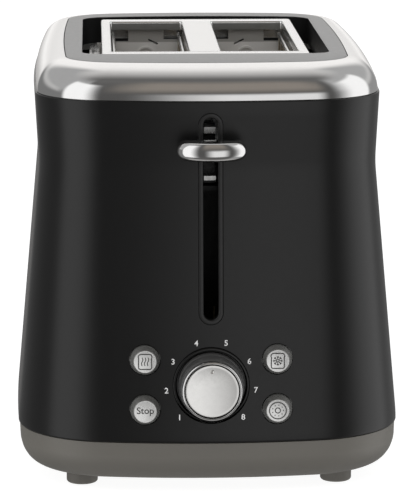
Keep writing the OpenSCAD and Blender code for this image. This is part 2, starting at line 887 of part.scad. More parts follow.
module power_contacts() {
    contact_x = 22;
    blade_hw = 3;
    blade_t = 0.6;
    // Fixed and sprung blades, as [front, top, height of the contact tip]
    fixed = [-100, 64, 61];
    sprung = [-93, 60, 57.6];
    low_z = 40;
    tip_r = 2;
    tip_t = 1;
    holder_hw = 5;
    holder_y = [-103, -91];
    holder_z = bracket_low_z + 1.5;
    color("#b87333") in_frame() for (s = [-1, 1]) translate([s * contact_x, 0, 0]) {
        for (b = [fixed, sprung]) box([-blade_hw, b[0], low_z], [blade_hw, b[0] + blade_t, b[1]]);
        translate([0, 0, fixed[2]]) along_y(tip_r, fixed[0] + blade_t, tip_t);
        translate([0, 0, sprung[2]]) along_y(tip_r, sprung[0] - tip_t, tip_t);
        box([-holder_hw, holder_y[0], holder_z], [holder_hw, holder_y[1], low_z + eps]);
    }
}

// ---------- chassis, heaters and bread guides ----------

window_inner = [[7.3, 189.7], [16.9, 197.2]];
window_outer = [[35.3, 188.7], [45.1, 195.2]];
arch_r = 4.8;
arch_z = 181.4;

module chassis_2d() {
    leg_band_h = 14;
    arm_way_hw = 2;
    arm_way_top = lift_z + 2.5;
    tab_gap = 0.1;
    slit = [5.6, 0.9];
    slit_x = 22.4;
    slit_z = 188.4;
    slit_lean = 25;
    difference() {
        union() {
            translate([-chassis_hw, leg_top_z]) square([2 * chassis_hw, chassis_step_z - leg_top_z]);
            translate([-chassis_top_hw, leg_top_z]) square([2 * chassis_top_hw, plate_top_z - leg_top_z]);
            translate([-leg_hw, leg_top_z]) square([2 * leg_hw, leg_band_h]);
            for (x = [-leg_hw, leg_in])
                translate([x, floor_z]) square([leg_hw - leg_in, leg_top_z - floor_z + 1]);
        }
        for (s = [-1, 1]) {
            for (w = [window_inner, window_outer])
                translate([s > 0 ? w[0][0] : -w[1][0], w[0][1]]) square(w[1] - w[0]);
            // Way for the lift's tongue or the carriage's arm
            translate([s * chamber_x - arm_way_hw, lift_slot_low])
                square([2 * arm_way_hw, arm_way_top - lift_slot_low]);
            for (x = [cage_inner_x, cage_outer_x])
                translate([s * x, cage_low_z]) circle(r = cage_rod_r + pivot_gap, $fn = fine / 2);
            for (x = [board_inner_x, board_outer_x], z = board_tab_zs)
                translate([s > 0 ? x - tab_gap : -x - mica_t - tab_gap, z - tab_gap])
                    square([mica_t + 2 * tab_gap, board_tab_h + 2 * tab_gap]);
            // Lanced slit
            translate([s * slit_x, slit_z]) rotate(s * slit_lean) square(slit, center = true);
        }
    }
}

module chassis_plate(y, side) {
    flange_t = 1;
    foot_out = 9;
    emboss_t = 0.7;
    arch_w = 1.1;
    screw_hole_r = 1.6;
    color("#9c9c9a") in_frame() {
        translate([0, y + sheet, 0]) rotate([90, 0, 0]) linear_extrude(sheet) chassis_2d();
        // Embossed arches beside the slots' ends
        for (s = [-1, 1])
            translate([s * chamber_x, y + (side > 0 ? -emboss_t : sheet - eps), arch_z]) rotate([-90, 0, 0])
                difference() {
                    cylinder(r = arch_r, h = emboss_t + eps, $fn = fine);
                    translate([0, 0, -1]) cylinder(r = arch_r - arch_w, h = emboss_t + 2, $fn = fine);
                    translate([-arch_r - 1, 0, -1]) cube([2 * arch_r + 2, arch_r + 1, emboss_t + 2]);
                }
        // Feet bent out over the base floor
        difference() {
            for (s = [-1, 1])
                box([s > 0 ? leg_in : -leg_hw, side > 0 ? y : y - foot_out, floor_z],
                    [s > 0 ? leg_hw : -leg_in, y + sheet + (side > 0 ? foot_out : 0), floor_z + flange_t]);
            at_leg_screws(floor_z - 1) cylinder(r = screw_hole_r, h = flange_t + 2, $fn = fine);
        }
    }
}

module chassis_front_plate() { chassis_plate(front_plate_y, -1); }
module chassis_rear_plate() { chassis_plate(rear_plate_y, 1); }

module chassis_screws() {
    color("#8c8c8c") in_frame() at_leg_screws(floor_z + 1)
        mirror([0, 0, 1]) screw(head_r = 2.7, head_h = 1.6, r = 1.3, length = 1.9);
}

module reflector(side) {
    gap = 0.1;
    low_y = front_plate_y + sheet + gap;
    high_y = rear_plate_y - gap;
    t = 0.6;
    low_z = 34;
    high_z = 187;
    hem = 5;
    ribs = 4;
    rib_w = 8;
    rib_pitch = 38;
    rib_y = -56;
    rib_zs = [60, 160];
    color("#c4c4c2") in_frame() mirror([side > 0 ? 0 : 1, 0, 0]) translate([reflector_x, 0, 0]) {
        box([0, low_y, low_z], [t, high_y, high_z]);
        // Hems that stiffen the sheet's top and bottom
        for (z = [low_z, high_z - t]) box([0, low_y, z], [hem, high_y, z + t]);
        for (i = [0:ribs - 1]) translate([t - eps, rib_y + rib_pitch * i, rib_zs[0]])
            cube([t + eps, rib_w, rib_zs[1] - rib_zs[0]]);
    }
}

module reflector_left() { reflector(-1); }
module reflector_right() { reflector(1); }

module heater_board(x, side) {
    gap = 0.2;
    low_y = front_plate_y + sheet + gap;
    high_y = rear_plate_y - gap;
    tab = 2.4;
    color("#b9a98a") in_frame() mirror([side > 0 ? 0 : 1, 0, 0]) {
        box([x, low_y, board_low_z], [x + mica_t, high_y, board_high_z]);
        for (z = board_tab_zs) {
            box([x, low_y - tab, z], [x + mica_t, low_y + eps, z + board_tab_h]);
            box([x, high_y - eps, z], [x + mica_t, high_y + tab, z + board_tab_h]);
        }
    }
}

module heater_outer_left() { heater_board(board_outer_x, -1); }
module heater_inner_left() { heater_board(board_inner_x, -1); }
module heater_inner_right() { heater_board(board_inner_x, 1); }
module heater_outer_right() { heater_board(board_outer_x, 1); }

module heater_ribbons() {
    rows = 15;
    ribbon_t = 0.25;
    ribbon_h = 1.3;
    ribbon_ys = [-61, 63];
    first_z = board_low_z + 8;
    last_z = board_high_z - 9;
    color("#6d5f52") in_frame() for (s = [0, 1], i = [0:rows - 1]) mirror([s, 0, 0])
        for (x = [board_inner_x + mica_t, board_outer_x - ribbon_t])
            translate([x, ribbon_ys[0], first_z + (last_z - first_z) * i / (rows - 1)])
                cube([ribbon_t, ribbon_ys[1] - ribbon_ys[0], ribbon_h]);
}

// Wire cage: a hinge rod below, a top rod whose ends move in the windows, and upright wires
module guide_cage(x, side) {
    toward = x < chamber_x ? 1 : -1;
    rod_proud = 1.2;
    end_y = front_plate_y - rod_proud;
    length = rear_plate_y + sheet + rod_proud - end_y;
    wires = 7;
    wire_pitch = 19.4;
    wire_y = -57;
    wire_in = 0.3;
    color("#bdbdbb") in_frame() mirror([side > 0 ? 0 : 1, 0, 0]) {
        for (z = [cage_low_z, cage_high_z]) translate([x, 0, z]) along_y(cage_rod_r, end_y, length);
        for (i = [0:wires - 1])
            translate([x + toward * wire_in, wire_y + wire_pitch * i, cage_low_z])
                cylinder(r = cage_wire_r, h = cage_high_z - cage_low_z, $fn = 24);
    }
}

module guide_outer_left() { guide_cage(cage_outer_x, -1); }
module guide_inner_left() { guide_cage(cage_inner_x, -1); }
module guide_inner_right() { guide_cage(cage_inner_x, 1); }
module guide_outer_right() { guide_cage(cage_outer_x, 1); }

// ---------- controls ----------

module dial_surround() {
    side_t = 1.2;
    back_t = 1.5;
    proud = 0.1;
    shaft_hole_r = shaft_r + 2.2;
    color("#141414") in_frame() translate([0, 0, dial_z]) difference() {
        intersection() {
            along_y(dial_surround_r, -body_hl - 1, body_hl + 1 + dish_y + back_t);
            translate([0, 0, -dial_z]) casing_block(proud);
        }
        along_y(dial_surround_r - side_t, -body_hl - 2, body_hl + 2 + dish_y);
        along_y(shaft_hole_r, -body_hl, body_hl + dish_y + back_t + 1);
    }
}

// Turned shape about the dial's axis, from a profile of [radius, distance in front of the axis' y = 0]
module turned(profile) {
    in_frame() translate([0, 0, dial_z]) rotate([90, 0, 0]) rotate_extrude($fn = 96) polygon(profile);
}

module browning_knob() {
    back = -knob_back_y;
    neck = -knob_neck_y;
    bore_r = 12.3;
    hub_r = 5;
    // Stepped skirt, as [radius, distance from its back or from its neck]
    skirt = [[15.4, 0], [15.4, 1.3], [14.9, 1.6], [14.9, 2.6], [15.2, 2.9], [15.1, 4]];
    shoulder = [[14.4, -0.4], [14.2, 0]];
    color("#161616") turned([
        [shaft_r, back + 3], [hub_r, back + 3], [hub_r, back],
        for (p = skirt) [p[0], back + p[1]],
        for (p = shoulder) [p[0], neck + p[1]],
        [bore_r, neck], [bore_r, neck + 2], [shaft_r, neck + 2],
    ]);
}

module knob_ring() {
    back = -knob_neck_y + 0.05;
    face = -knob_front_y;
    bore_r = 12.35;
    // Rounded rim, as [radius, distance behind the face]
    rim = [[dial_r, 0.8], [dial_r - 0.3, 0.25], [dial_r - 0.8, 0], [12.95, 0.2], [12.6, 0.7], [bore_r, 0.8]];
    color("#dcdcdc") turned([
        [bore_r, back], [dial_r - 0.1, back], [dial_r, back + 0.45],
        for (p = rim) [p[0], face - p[1]],
    ]);
}

module knob_cap() {
    back = -knob_neck_y + 2.05;
    face = -knob_front_y;
    cap_r = 12.3;
    // Dished face with a rounded edge, as [radius, distance behind the ring's face]
    dish = [[cap_r, 0.7], [12, 0.35], [11.4, 0.3], [8, 0.62], [4, 0.85], [0, 0.9]];
    pointer_out = 9.2;
    pointer_r = 0.95;
    color("#c9c9c7") difference() {
        turned([[0, back], [cap_r, back], for (p = dish) [p[0], face - p[1]]]);
        in_frame() translate([0, knob_front_y, dial_z + pointer_out]) sphere(r = pointer_r, $fn = fine / 2);
    }
}

module knob_shaft() {
    front_in = 2.4;
    length = 27.8;
    color("#b0b0ae") in_frame()
        translate([0, 0, dial_z]) along_y(shaft_r - shaft_ease, knob_front_y + front_in, length);
}

module potentiometer() {
    body_hw = 8.5;
    front = -122.6;
    bush_r = 4.2;
    bush_y = -131.6;
    bore_l = 13.1;
    color("#3b5a7a") in_frame() translate([0, 0, dial_z]) difference() {
        union() {
            box([-body_hw, front, -body_hw], [body_hw, board_y, body_hw]);
            along_y(bush_r, bush_y, front - bush_y + eps);
        }
        along_y(shaft_r - shaft_ease + shaft_gap, bush_y - 1, bore_l);
    }
}

module button(place) {
    x = place[0];
    z = place[1];
    y = front_y(x, z);
    face_r = 5.15;
    // Rim, as [radius, distance in front of the casing]
    low_rim = [[button_r, 0.6], [button_r - 0.15, 0.9]];
    high_rim = [[face_r + 0.25, button_proud - 0.25], [face_r - 0.1, button_proud]];
    dish_r = 32;
    dish_depth = 0.4;
    flange_r = button_r + 1.5;
    flange_y = y + button_flange_in;
    stem_y = flange_y + button_flange_t - eps;
    color("#c4c4c4") in_frame() translate([x, 0, z]) difference() {
        union() {
            translate([0, flange_y, 0]) rotate([90, 0, 0]) rotate_extrude($fn = fine) polygon([
                [0, 0], [button_r, 0],
                for (p = concat(low_rim, high_rim)) [p[0], button_flange_in + p[1]],
                [0, button_flange_in + button_proud],
            ]);
            along_y(flange_r, flange_y, button_flange_t);
            along_y(stem_r, stem_y, stem_end_y - stem_y - eps);
        }
        // Shallow thumb dish
        translate([0, y - button_proud + dish_depth - dish_r, 0]) sphere(r = dish_r, $fn = 96);
    }
}

module reheat_button() { button(button_places[0]); }
module stop_button() { button(button_places[1]); }
module defrost_button() { button(button_places[2]); }
module bagel_button() { button(button_places[3]); }

module button_carrier() {
    hw = 42;
    zs = [33, 71];
    guide_gap = 0.35;
    shaft_hole_r = 5;
    peg_x = 16;
    peg_zs = [37, 67];
    peg_r = 2.5;
    back_y = carrier_y + carrier_t;
    color("#3c3c3c") in_frame() {
        difference() {
            box([-hw, carrier_y, zs[0]], [hw, back_y, zs[1]]);
            for (p = button_places)
                translate([p[0], 0, p[1]]) along_y(stem_r + guide_gap, carrier_y - 1, carrier_t + 2);
            translate([0, 0, dial_z]) along_y(shaft_hole_r, carrier_y - 1, carrier_t + 2);
        }
        for (s = [-1, 1], z = peg_zs) translate([s * peg_x, 0, z]) along_y(peg_r, back_y, board_y - back_y);
    }
}

module control_board() {
    hw = 44;
    zs = [31, 71];
    back_y = board_y + board_t;
    transformer = [16, 9, 14];
    capacitor_r = 4;
    capacitor_l = 10;
    color("#1f5b39") in_frame() {
        box([-hw, board_y, zs[0]], [hw, back_y, zs[1]]);
        // Transformer and capacitor on the rear side
        translate([-38, back_y, 36]) cube(transformer);
        translate([30, 0, 44]) along_y(capacitor_r, back_y, capacitor_l);
    }
}

module tact_switches() {
    hw = 3;
    plunger_r = 1.6;
    color("#2a2a2a") in_frame() for (p = button_places) translate([p[0], 0, p[1]]) {
        box([-hw, board_y - switch_h, -hw], [hw, board_y, hw]);
        along_y(plunger_r, board_y - switch_h - plunger_h, plunger_h + eps);
    }
}

module cord_gland() {
    bore_r = 3.4;
    nut_r = 7.4;
    shank_r = gland_hole_r - 0.1;
    clear = 0.5;
    // Collar outside the wall, as [radius, distance out]
    collar = [[8, clear], [8, 1.6], [7.2, 2.4], [4.6, 2.6], [bore_r, 2.6]];
    color("#1a1a1a") in_frame() on_rear_wall(gland_x, gland_z) rotate_extrude($fn = fine) polygon(concat(
        [[bore_r, -6], [nut_r, -6], [nut_r, -wall - clear], [shank_r, -wall - clear], [shank_r, clear]],
        collar
    ));
}

body_shell();
shoulder_trim();
top_bezel();
slot_plate();
base_tray();
foot_front_left();
foot_front_right();
foot_rear_left();
foot_rear_right();
lever_slot_liner();
lever_handle();
lever_arm();
dial_surround();
browning_knob();
knob_ring();
knob_cap();
knob_shaft();
potentiometer();
reheat_button();
stop_button();
defrost_button();
bagel_button();
button_carrier();
control_board();
tact_switches();
chassis_front_plate();
chassis_rear_plate();
reflector_left();
reflector_right();
heater_outer_left();
heater_inner_left();
heater_inner_right();
heater_outer_right();
heater_ribbons();
guide_outer_left();
guide_inner_left();
guide_inner_right();
guide_outer_right();
bread_lift_left();
bread_lift_right();
carriage_bracket();
catch_plate();
guide_rods();
rod_bracket_top();
rod_bracket_bottom();
return_spring();
magnet_core();
magnet_coil();
magnet_bracket();
power_contacts();
crumb_tray();
crumb_tray_handle();
cord_gland();
base_screws();
chassis_screws();
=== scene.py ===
"""Looks for the pop up toaster: smooth shells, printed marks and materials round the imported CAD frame.

Lengths in this script are millimetres in the casing's own frame: x to the right, -y to the front,
z up from the worktop, with y = 0 at the casing's middle. piece() turns them into metres in the CAD frame.
"""
import math

import bmesh
import bpy
import numpy as np
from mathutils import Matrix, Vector
from mathutils.geometry import tessellate_polygon


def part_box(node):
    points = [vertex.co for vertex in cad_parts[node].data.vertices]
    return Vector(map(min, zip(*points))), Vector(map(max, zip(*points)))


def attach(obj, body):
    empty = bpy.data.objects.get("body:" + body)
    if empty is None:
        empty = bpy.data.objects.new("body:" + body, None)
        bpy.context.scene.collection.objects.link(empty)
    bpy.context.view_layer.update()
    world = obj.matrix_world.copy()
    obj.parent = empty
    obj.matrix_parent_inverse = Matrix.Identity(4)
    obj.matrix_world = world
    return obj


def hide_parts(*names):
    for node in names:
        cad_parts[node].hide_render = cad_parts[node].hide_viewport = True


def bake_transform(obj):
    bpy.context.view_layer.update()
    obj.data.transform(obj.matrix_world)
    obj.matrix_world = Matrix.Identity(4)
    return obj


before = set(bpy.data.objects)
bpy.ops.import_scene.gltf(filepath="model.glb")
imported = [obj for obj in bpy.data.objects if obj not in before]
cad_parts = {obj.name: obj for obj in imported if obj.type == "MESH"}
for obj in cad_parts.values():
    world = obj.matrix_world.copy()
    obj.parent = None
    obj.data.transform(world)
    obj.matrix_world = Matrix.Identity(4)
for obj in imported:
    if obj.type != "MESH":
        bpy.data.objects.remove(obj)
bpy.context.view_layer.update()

MM = 0.001


def node_box(node):
    """Lowest and highest corner of a CAD node, in millimetres."""
    low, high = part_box(node)
    return np.array(low) / MM, np.array(high) / MM


# ---------- dimensions ----------

shell_low, shell_high = node_box("body_shell")
bezel_low, bezel_high = node_box("top_bezel")
plate_low, plate_high = node_box("slot_plate")
liner_low, liner_high = node_box("lever_slot_liner")
handle_low, handle_high = node_box("lever_handle")
ring_low, ring_high = node_box("knob_ring")
surround_high = node_box("dial_surround")[1]
foot_high = node_box("foot_front_right")[1]
drawer_low, drawer_high = node_box("crumb_tray_handle")
spring_low, spring_high = node_box("return_spring")

BODY_HW = shell_high[0]
BODY_HL = (shell_high[1] - shell_low[1]) / 2
MIDDLE_Y = (shell_high[1] + shell_low[1]) / 2
RIM_Z = shell_high[2]
TOP_Z = bezel_high[2]
TRIM_HW = bezel_high[0]
TRIM_HL = (bezel_high[1] - bezel_low[1]) / 2
CORNER_R, TRIM_CORNER_R = 47.5, 26.0
BOW_R, SIDE_R = 310.0, 2200.0
WALL = 2.4

# Opening in the trim ring, from the casing's middle, and its corners
OPENING_HW, OPENING_FRONT, OPENING_REAR = 59.0, 74.8, 93.0
OPENING_FRONT_R, OPENING_REAR_R = 8.0, 13.0

# Casing profile: it flares to its widest at FLARE_Z, leans in to the waist and out again to the rim
FLARE_Z, SEAM_Z = 28.5, 25.2
LOWER_LEAN, UPPER_LEAN = 0.0904, 0.0525
RIM_INSET = 9.3
WAIST_BEND = 5.0
FLARE_SOFT = 2.0
WAIST_Z = (RIM_INSET + UPPER_LEAN * RIM_Z + LOWER_LEAN * FLARE_Z) / (LOWER_LEAN + UPPER_LEAN)

# Base profile: nearly upright above ROUND_Z, rounded in below it
PLUG_H = 5.0
BASE_Z = foot_high[2] - PLUG_H
ROUND_Z, ROUND_IN, BASE_IN = 20.0, 11.0, 0.8

DIAL_Z = (ring_low[2] + ring_high[2]) / 2
DIAL_R = ring_high[0]
SURROUND_R = surround_high[0]
KNOB_FRONT = MIDDLE_Y - ring_low[1]
KNOB_BACK = 135.0
DISH_FRONT = 134.4

BUTTON_R, BUTTON_FACE_R, BUTTON_PROUD, BUTTON_FLANGE = 6.9, 5.15, 4.3, 4.3
BUTTON_DISH_R = 32.0
BUTTON_DISH_DEPTH = 0.4
BUTTONS = {
    name: ((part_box(name + "_button")[0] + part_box(name + "_button")[1]) / 2 / MM).xz
    for name in ("reheat", "stop", "defrost", "bagel")
}

# ---------- outlines: closed loops of points in plan, clockwise from above ----------


def bend(cx, cy, r, a0, a1, steps):
    a = np.linspace(a0, a1, steps + 1)
    return np.c_[cx + r * np.cos(a), cy + r * np.sin(a)]


def between(p, q, steps, centre=None):
    """Points between p and q, without them, on a straight line or on an arc about centre."""
    t = np.linspace(0, 1, steps + 1)[1:-1, None]
    if centre is None:
        return p + (q - p) * t
    c = np.array(centre)
    a0 = math.atan2(*(p - c)[::-1])
    turn = (math.atan2(*(q - c)[::-1]) - a0 + math.pi) % (2 * math.pi) - math.pi
    a = a0 + turn * t
    return c + np.linalg.norm(p - c) * np.hstack([np.cos(a), np.sin(a)])


def loop(corners, centres=(None,) * 4, corner_steps=14, edge_steps=14):
    """Outline with corners front right, front left, rear left and rear right, joined by lines or arcs."""
    bends = [bend(*c, corner_steps) for c in corners]
    points = []
    for k, centre in enumerate(centres):
        points += [bends[k], between(bends[k][-1], bends[(k + 1) % 4][0], edge_steps, centre)]
    return np.vstack(points)


def bowed(hw, hl, rf, rs, rc):
    """Outline whose front and rear bow with radius rf and whose sides bow with radius rs."""
    front_c, side_c = np.array([0, rf - hl]), np.array([hw - rs, 0])
    d = np.linalg.norm(side_c - front_c)
    u = (side_c - front_c) / d
    r1, r2 = rf - rc, rs - rc
    a = (r1 * r1 - r2 * r2 + d * d) / (2 * d)
    cx, cy = front_c + a * u + math.sqrt(r1 * r1 - a * a) * np.array([-u[1], u[0]])
    side = math.atan2(cy, cx - side_c[0])
    front = math.atan2(cy - front_c[1], cx)
    pi = math.pi
    corners = [
        (cx, cy, rc, side, front),
        (-cx, cy, rc, -pi - front, -pi - side),
        (-cx, -cy, rc, -pi + side, -pi + front),
        (cx, -cy, rc, -2 * pi - front, -2 * pi - side),
    ]
    return loop(corners, [front_c, -side_c, -front_c, side_c])


def casing_loop(inset):
    return bowed(BODY_HW - inset, BODY_HL - inset, BOW_R - inset, SIDE_R - inset, CORNER_R - inset)


def trim_loop(inset):
    return bowed(TRIM_HW - inset, TRIM_HL - inset, BOW_R - inset, SIDE_R - inset, TRIM_CORNER_R - inset)


def box_loop(low, high, r, inset=0.0, corner_steps=6, edge_steps=14):
    x0, y0, x1, y1 = low[0] + inset, low[1] + inset, high[0] - inset, high[1] - inset
    r = max(r - inset, 0.05)
    q = math.pi / 2
    corners = [
        (x1 - r, y0 + r, r, 0, -q), (x0 + r, y0 + r, r, -q, -2 * q),
        (x0 + r, y1 - r, r, -2 * q, -3 * q), (x1 - r, y1 - r, r, -3 * q, -4 * q),
    ]
    return loop(corners, corner_steps=corner_steps, edge_steps=edge_steps)


def opening_loop(grow):
    """The opening in the trim ring: straight front and sides, bowed rear."""
    front_r, rear_r = OPENING_FRONT_R + grow, OPENING_REAR_R + grow
    hw, front, rear = OPENING_HW + grow, OPENING_FRONT + grow, OPENING_REAR + grow
    bow_cy = rear - BOW_R
    cx = hw - rear_r
    cy = bow_cy + math.sqrt((BOW_R - rear_r) ** 2 - cx * cx)
    bow = math.atan2(cy - bow_cy, cx)
    q = math.pi / 2
    corners = [
        (hw - front_r, front_r - front, front_r, 0, -q), (front_r - hw, front_r - front, front_r, -q, -2 * q),
        (-cx, cy, rear_r, -2 * q, -2 * q - bow), (cx, cy, rear_r, bow - 4 * q, -4 * q),
    ]
    return loop(corners, [None, None, (0, bow_cy), None])


def casing_inset(z):
    """How far the casing stands in from its widest outline."""
    start = z - (FLARE_Z - FLARE_SOFT)
    if start < 2 * FLARE_SOFT:
        return LOWER_LEAN * max(start, 0) ** 2 / (4 * FLARE_SOFT)
    lower = LOWER_LEAN * (z - FLARE_Z)
    upper = RIM_INSET + UPPER_LEAN * (RIM_Z - z)
    t = (z - WAIST_Z) / WAIST_BEND
    if abs(t) < 1:
        return (lower + upper) / 2 - (LOWER_LEAN + UPPER_LEAN) * WAIST_BEND / 4 * (1 + t * t)
    return min(lower, upper)


def base_inset(z):
    if z >= ROUND_Z:
        return BASE_IN - 0.15 * (z - ROUND_Z) / (SEAM_Z - ROUND_Z)
    return BASE_IN + ROUND_IN * (1 - math.sqrt(max(0.0, 1 - ((ROUND_Z - z) / (ROUND_Z - BASE_Z)) ** 2)))


def front_y(x, z, proud=0.0):
    """The casing's front surface; the rear is its mirror image."""
    return BOW_R - BODY_HL - math.sqrt((BOW_R - casing_inset(z) + proud) ** 2 - x * x)


# ---------- solids as (points, faces) ----------


def at(points, z):
    return np.c_[points, np.full(len(points), z)]


def loft(rings, closed=False):
    """Skin through rings of equally many points: a closed cycle, or a stack with a cap at each end."""
    n, m = len(rings[0]), len(rings)
    faces = []
    for i in range(m if closed else m - 1):
        a, b = i * n, (i + 1) % m * n
        faces += [(a + j, a + (j + 1) % n, b + (j + 1) % n, b + j) for j in range(n)]
    if not closed:
        faces += [tuple(range(n))[::-1], tuple(range((m - 1) * n, m * n))]
    return np.vstack(rings), faces


def joined(*parts):
    points, faces, start = [], [], 0
    for p, f in parts:
        points.append(p)
        faces += [tuple(i + start for i in face) for face in f]
        start += len(p)
    return np.vstack(points), faces


def turned(profile, steps=96):
    """Solid turned about +Z from (radius, height) points; a point with no radius is a pole."""
    points, faces, rows = [], [], []
    for r, h in profile:
        count = steps if r > 0 else 1
        rows.append(range(len(points), len(points) + count))
        angles = [2 * math.pi * k / steps for k in range(count)]
        points += [(r * math.cos(a), r * math.sin(a), h) for a in angles]
    closed = profile[0][0] > 0
    pairs = list(zip(rows, rows[1:] + rows[:1])) if closed else list(zip(rows, rows[1:]))
    for a, b in pairs:
        for k in range(steps):
            q = (k + 1) % steps
            face = [a[k % len(a)], a[q % len(a)], b[q % len(b)], b[k % len(b)]]
            faces.append(tuple(dict.fromkeys(face)))
    return np.array(points), faces


def facing_front(part, x, z):
    """Turns a solid's +Z to the front and puts it on the axis at x, z."""
    p, faces = part
    return np.c_[x + p[:, 0], -p[:, 2], z + p[:, 1]], faces


def moved(part, x=0.0, y=0.0, z=0.0):
    return part[0] + np.array([x, y, z]), part[1]


def mapped(part, place):
    """Each point (u, v, h) of a flat solid goes to place(u, v, h)."""
    return np.array([place(*p) for p in part[0]]), part[1]


def block(low, high, edge=0.4):
    """A box with softened edges."""
    zs = [(low[2], edge), (low[2] + edge, 0), (high[2] - edge, 0), (high[2], edge)]
    return loft([at(box_loop(low[:2], high[:2], 1.5 * edge, i, 3, 2), z) for z, i in zs])


def mesh_of(part, name):
    mesh = bpy.data.meshes.new(name)
    mesh.from_pydata([tuple(p) for p in part[0]], [], [f for f in part[1] if len(f) > 2])
    bm = bmesh.new()
    bm.from_mesh(mesh)
    bmesh.ops.remove_doubles(bm, verts=bm.verts, dist=1e-4)
    bmesh.ops.recalc_face_normals(bm, faces=bm.faces)
    bm.to_mesh(mesh)
    bm.free()
    return mesh


def carved(part, *cutters):
    """part with the cutters taken away."""
    body = bpy.data.objects.new("carve_body", mesh_of(part, "carve_body"))
    tool = bpy.data.objects.new("carve_tool", mesh_of(joined(*cutters), "carve_tool"))
    for o in (body, tool):
        bpy.context.scene.collection.objects.link(o)
    cut = body.modifiers.new("cut", "BOOLEAN")
    cut.object = tool
    cut.operation = "DIFFERENCE"
    cut.solver = "EXACT"
    mesh = bpy.data.meshes.new_from_object(body.evaluated_get(bpy.context.evaluated_depsgraph_get()))
    result = np.array([v.co[:] for v in mesh.vertices]), [tuple(p.vertices) for p in mesh.polygons]
    for o in (body, tool):
        old = o.data
        bpy.data.objects.remove(o)
        bpy.data.meshes.remove(old)
    bpy.data.meshes.remove(mesh)
    return result


def piece(name, part, material, body, *nodes, slot=None, sharp=35):
    """A finished object: smooth but for edges sharper than the given angle, riding on a body."""
    mesh = mesh_of(part, name)
    for v in mesh.vertices:
        v.co = Vector((v.co.x, v.co.y + MIDDLE_Y, v.co.z)) * MM
    mesh.materials.append(material)
    mesh.shade_smooth()
    mesh.set_sharp_from_angle(angle=math.radians(sharp))
    obj = bpy.data.objects.new(name, mesh)
    bpy.context.scene.collection.objects.link(obj)
    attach(obj, body)
    if nodes:
        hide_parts(*nodes)
    return obj


def recolour(obj, finish, chosen):
    """Gives a second finish, or a painted shade, to the faces whose centre is chosen, by its place in the
    casing's frame.
    """
    obj.data.materials.append(finish)
    for face in obj.data.polygons:
        x, y, z = (c / MM for c in face.center)
        face.material_index = int(bool(chosen(x, y - MIDDLE_Y, z)))


# ---------- materials ----------


def material(name, color, roughness, metallic=0.0, tone=0.06, tone_size=4.0, spread=0.05, spread_size=1.5,
             bump=0.0, bump_size=0.3, stretch=(1, 1, 1), **sockets):
    """Principled surface whose tone, roughness and fine relief vary; sizes are in millimetres."""
    mat = bpy.data.materials.new(name)
    mat.use_nodes = True
    nodes, links = mat.node_tree.nodes, mat.node_tree.links
    shader = nodes["Principled BSDF"]
    shader.inputs["Metallic"].default_value = metallic
    for key, value in sockets.items():
        shader.inputs[key.replace("_", " ")].default_value = value
    coord = nodes.new("ShaderNodeTexCoord")
    mapping = nodes.new("ShaderNodeMapping")
    mapping.inputs["Scale"].default_value = stretch
    links.new(coord.outputs["Object"], mapping.inputs["Vector"])

    def noise(size, detail=3.0):
        n = nodes.new("ShaderNodeTexNoise")
        n.inputs["Scale"].default_value = 1 / (size * MM)
        n.inputs["Detail"].default_value = detail
        links.new(mapping.outputs["Vector"], n.inputs["Vector"])
        return n.outputs["Fac"]

    ramp = nodes.new("ShaderNodeValToRGB")
    ramp.color_ramp.elements[0].position, ramp.color_ramp.elements[1].position = 0.3, 0.7
    ramp.color_ramp.elements[0].color = (*[c * (1 - tone) for c in color], 1)
    ramp.color_ramp.elements[1].color = (*[min(1, c * (1 + tone)) for c in color], 1)
    links.new(noise(tone_size), ramp.inputs["Fac"])
    links.new(ramp.outputs["Color"], shader.inputs["Base Color"])
    span = nodes.new("ShaderNodeMapRange")
    span.inputs["From Min"].default_value, span.inputs["From Max"].default_value = 0.3, 0.7
    span.inputs["To Min"].default_value = max(0.02, roughness - spread)
    span.inputs["To Max"].default_value = roughness + spread
    links.new(noise(spread_size), span.inputs["Value"])
    links.new(span.outputs["Result"], shader.inputs["Roughness"])
    if bump:
        relief = nodes.new("ShaderNodeBump")
        relief.inputs["Strength"].default_value = 1.0
        relief.inputs["Distance"].default_value = bump * MM
        links.new(noise(bump_size, 4.0), relief.inputs["Height"])
        links.new(relief.outputs["Normal"], shader.inputs["Normal"])
    return mat


def paint_shading_beyond(mat, axis, place, other, soft=0.5):
    """Paints light and shade: gives a surface another colour beyond a place on an axis, in millimetres of the
    CAD frame.
    """
    nodes, links = mat.node_tree.nodes, mat.node_tree.links
    shader = nodes["Principled BSDF"]
    colour = shader.inputs["Base Color"].links[0].from_socket
    coord = nodes.new("ShaderNodeTexCoord")
    parts = nodes.new("ShaderNodeSeparateXYZ")
    links.new(coord.outputs["Object"], parts.inputs["Vector"])
    span = nodes.new("ShaderNodeMapRange")
    span.inputs["From Min"].default_value = place * MM
    span.inputs["From Max"].default_value = (place + soft) * MM
    links.new(parts.outputs[axis], span.inputs["Value"])
    mix = nodes.new("ShaderNodeMix")
    mix.data_type = "RGBA"
    mix.inputs["B"].default_value = (*other, 1)
    links.new(span.outputs["Result"], mix.inputs["Factor"])
    links.new(colour, mix.inputs["A"])
    links.new(mix.outputs["Result"], shader.inputs["Base Color"])


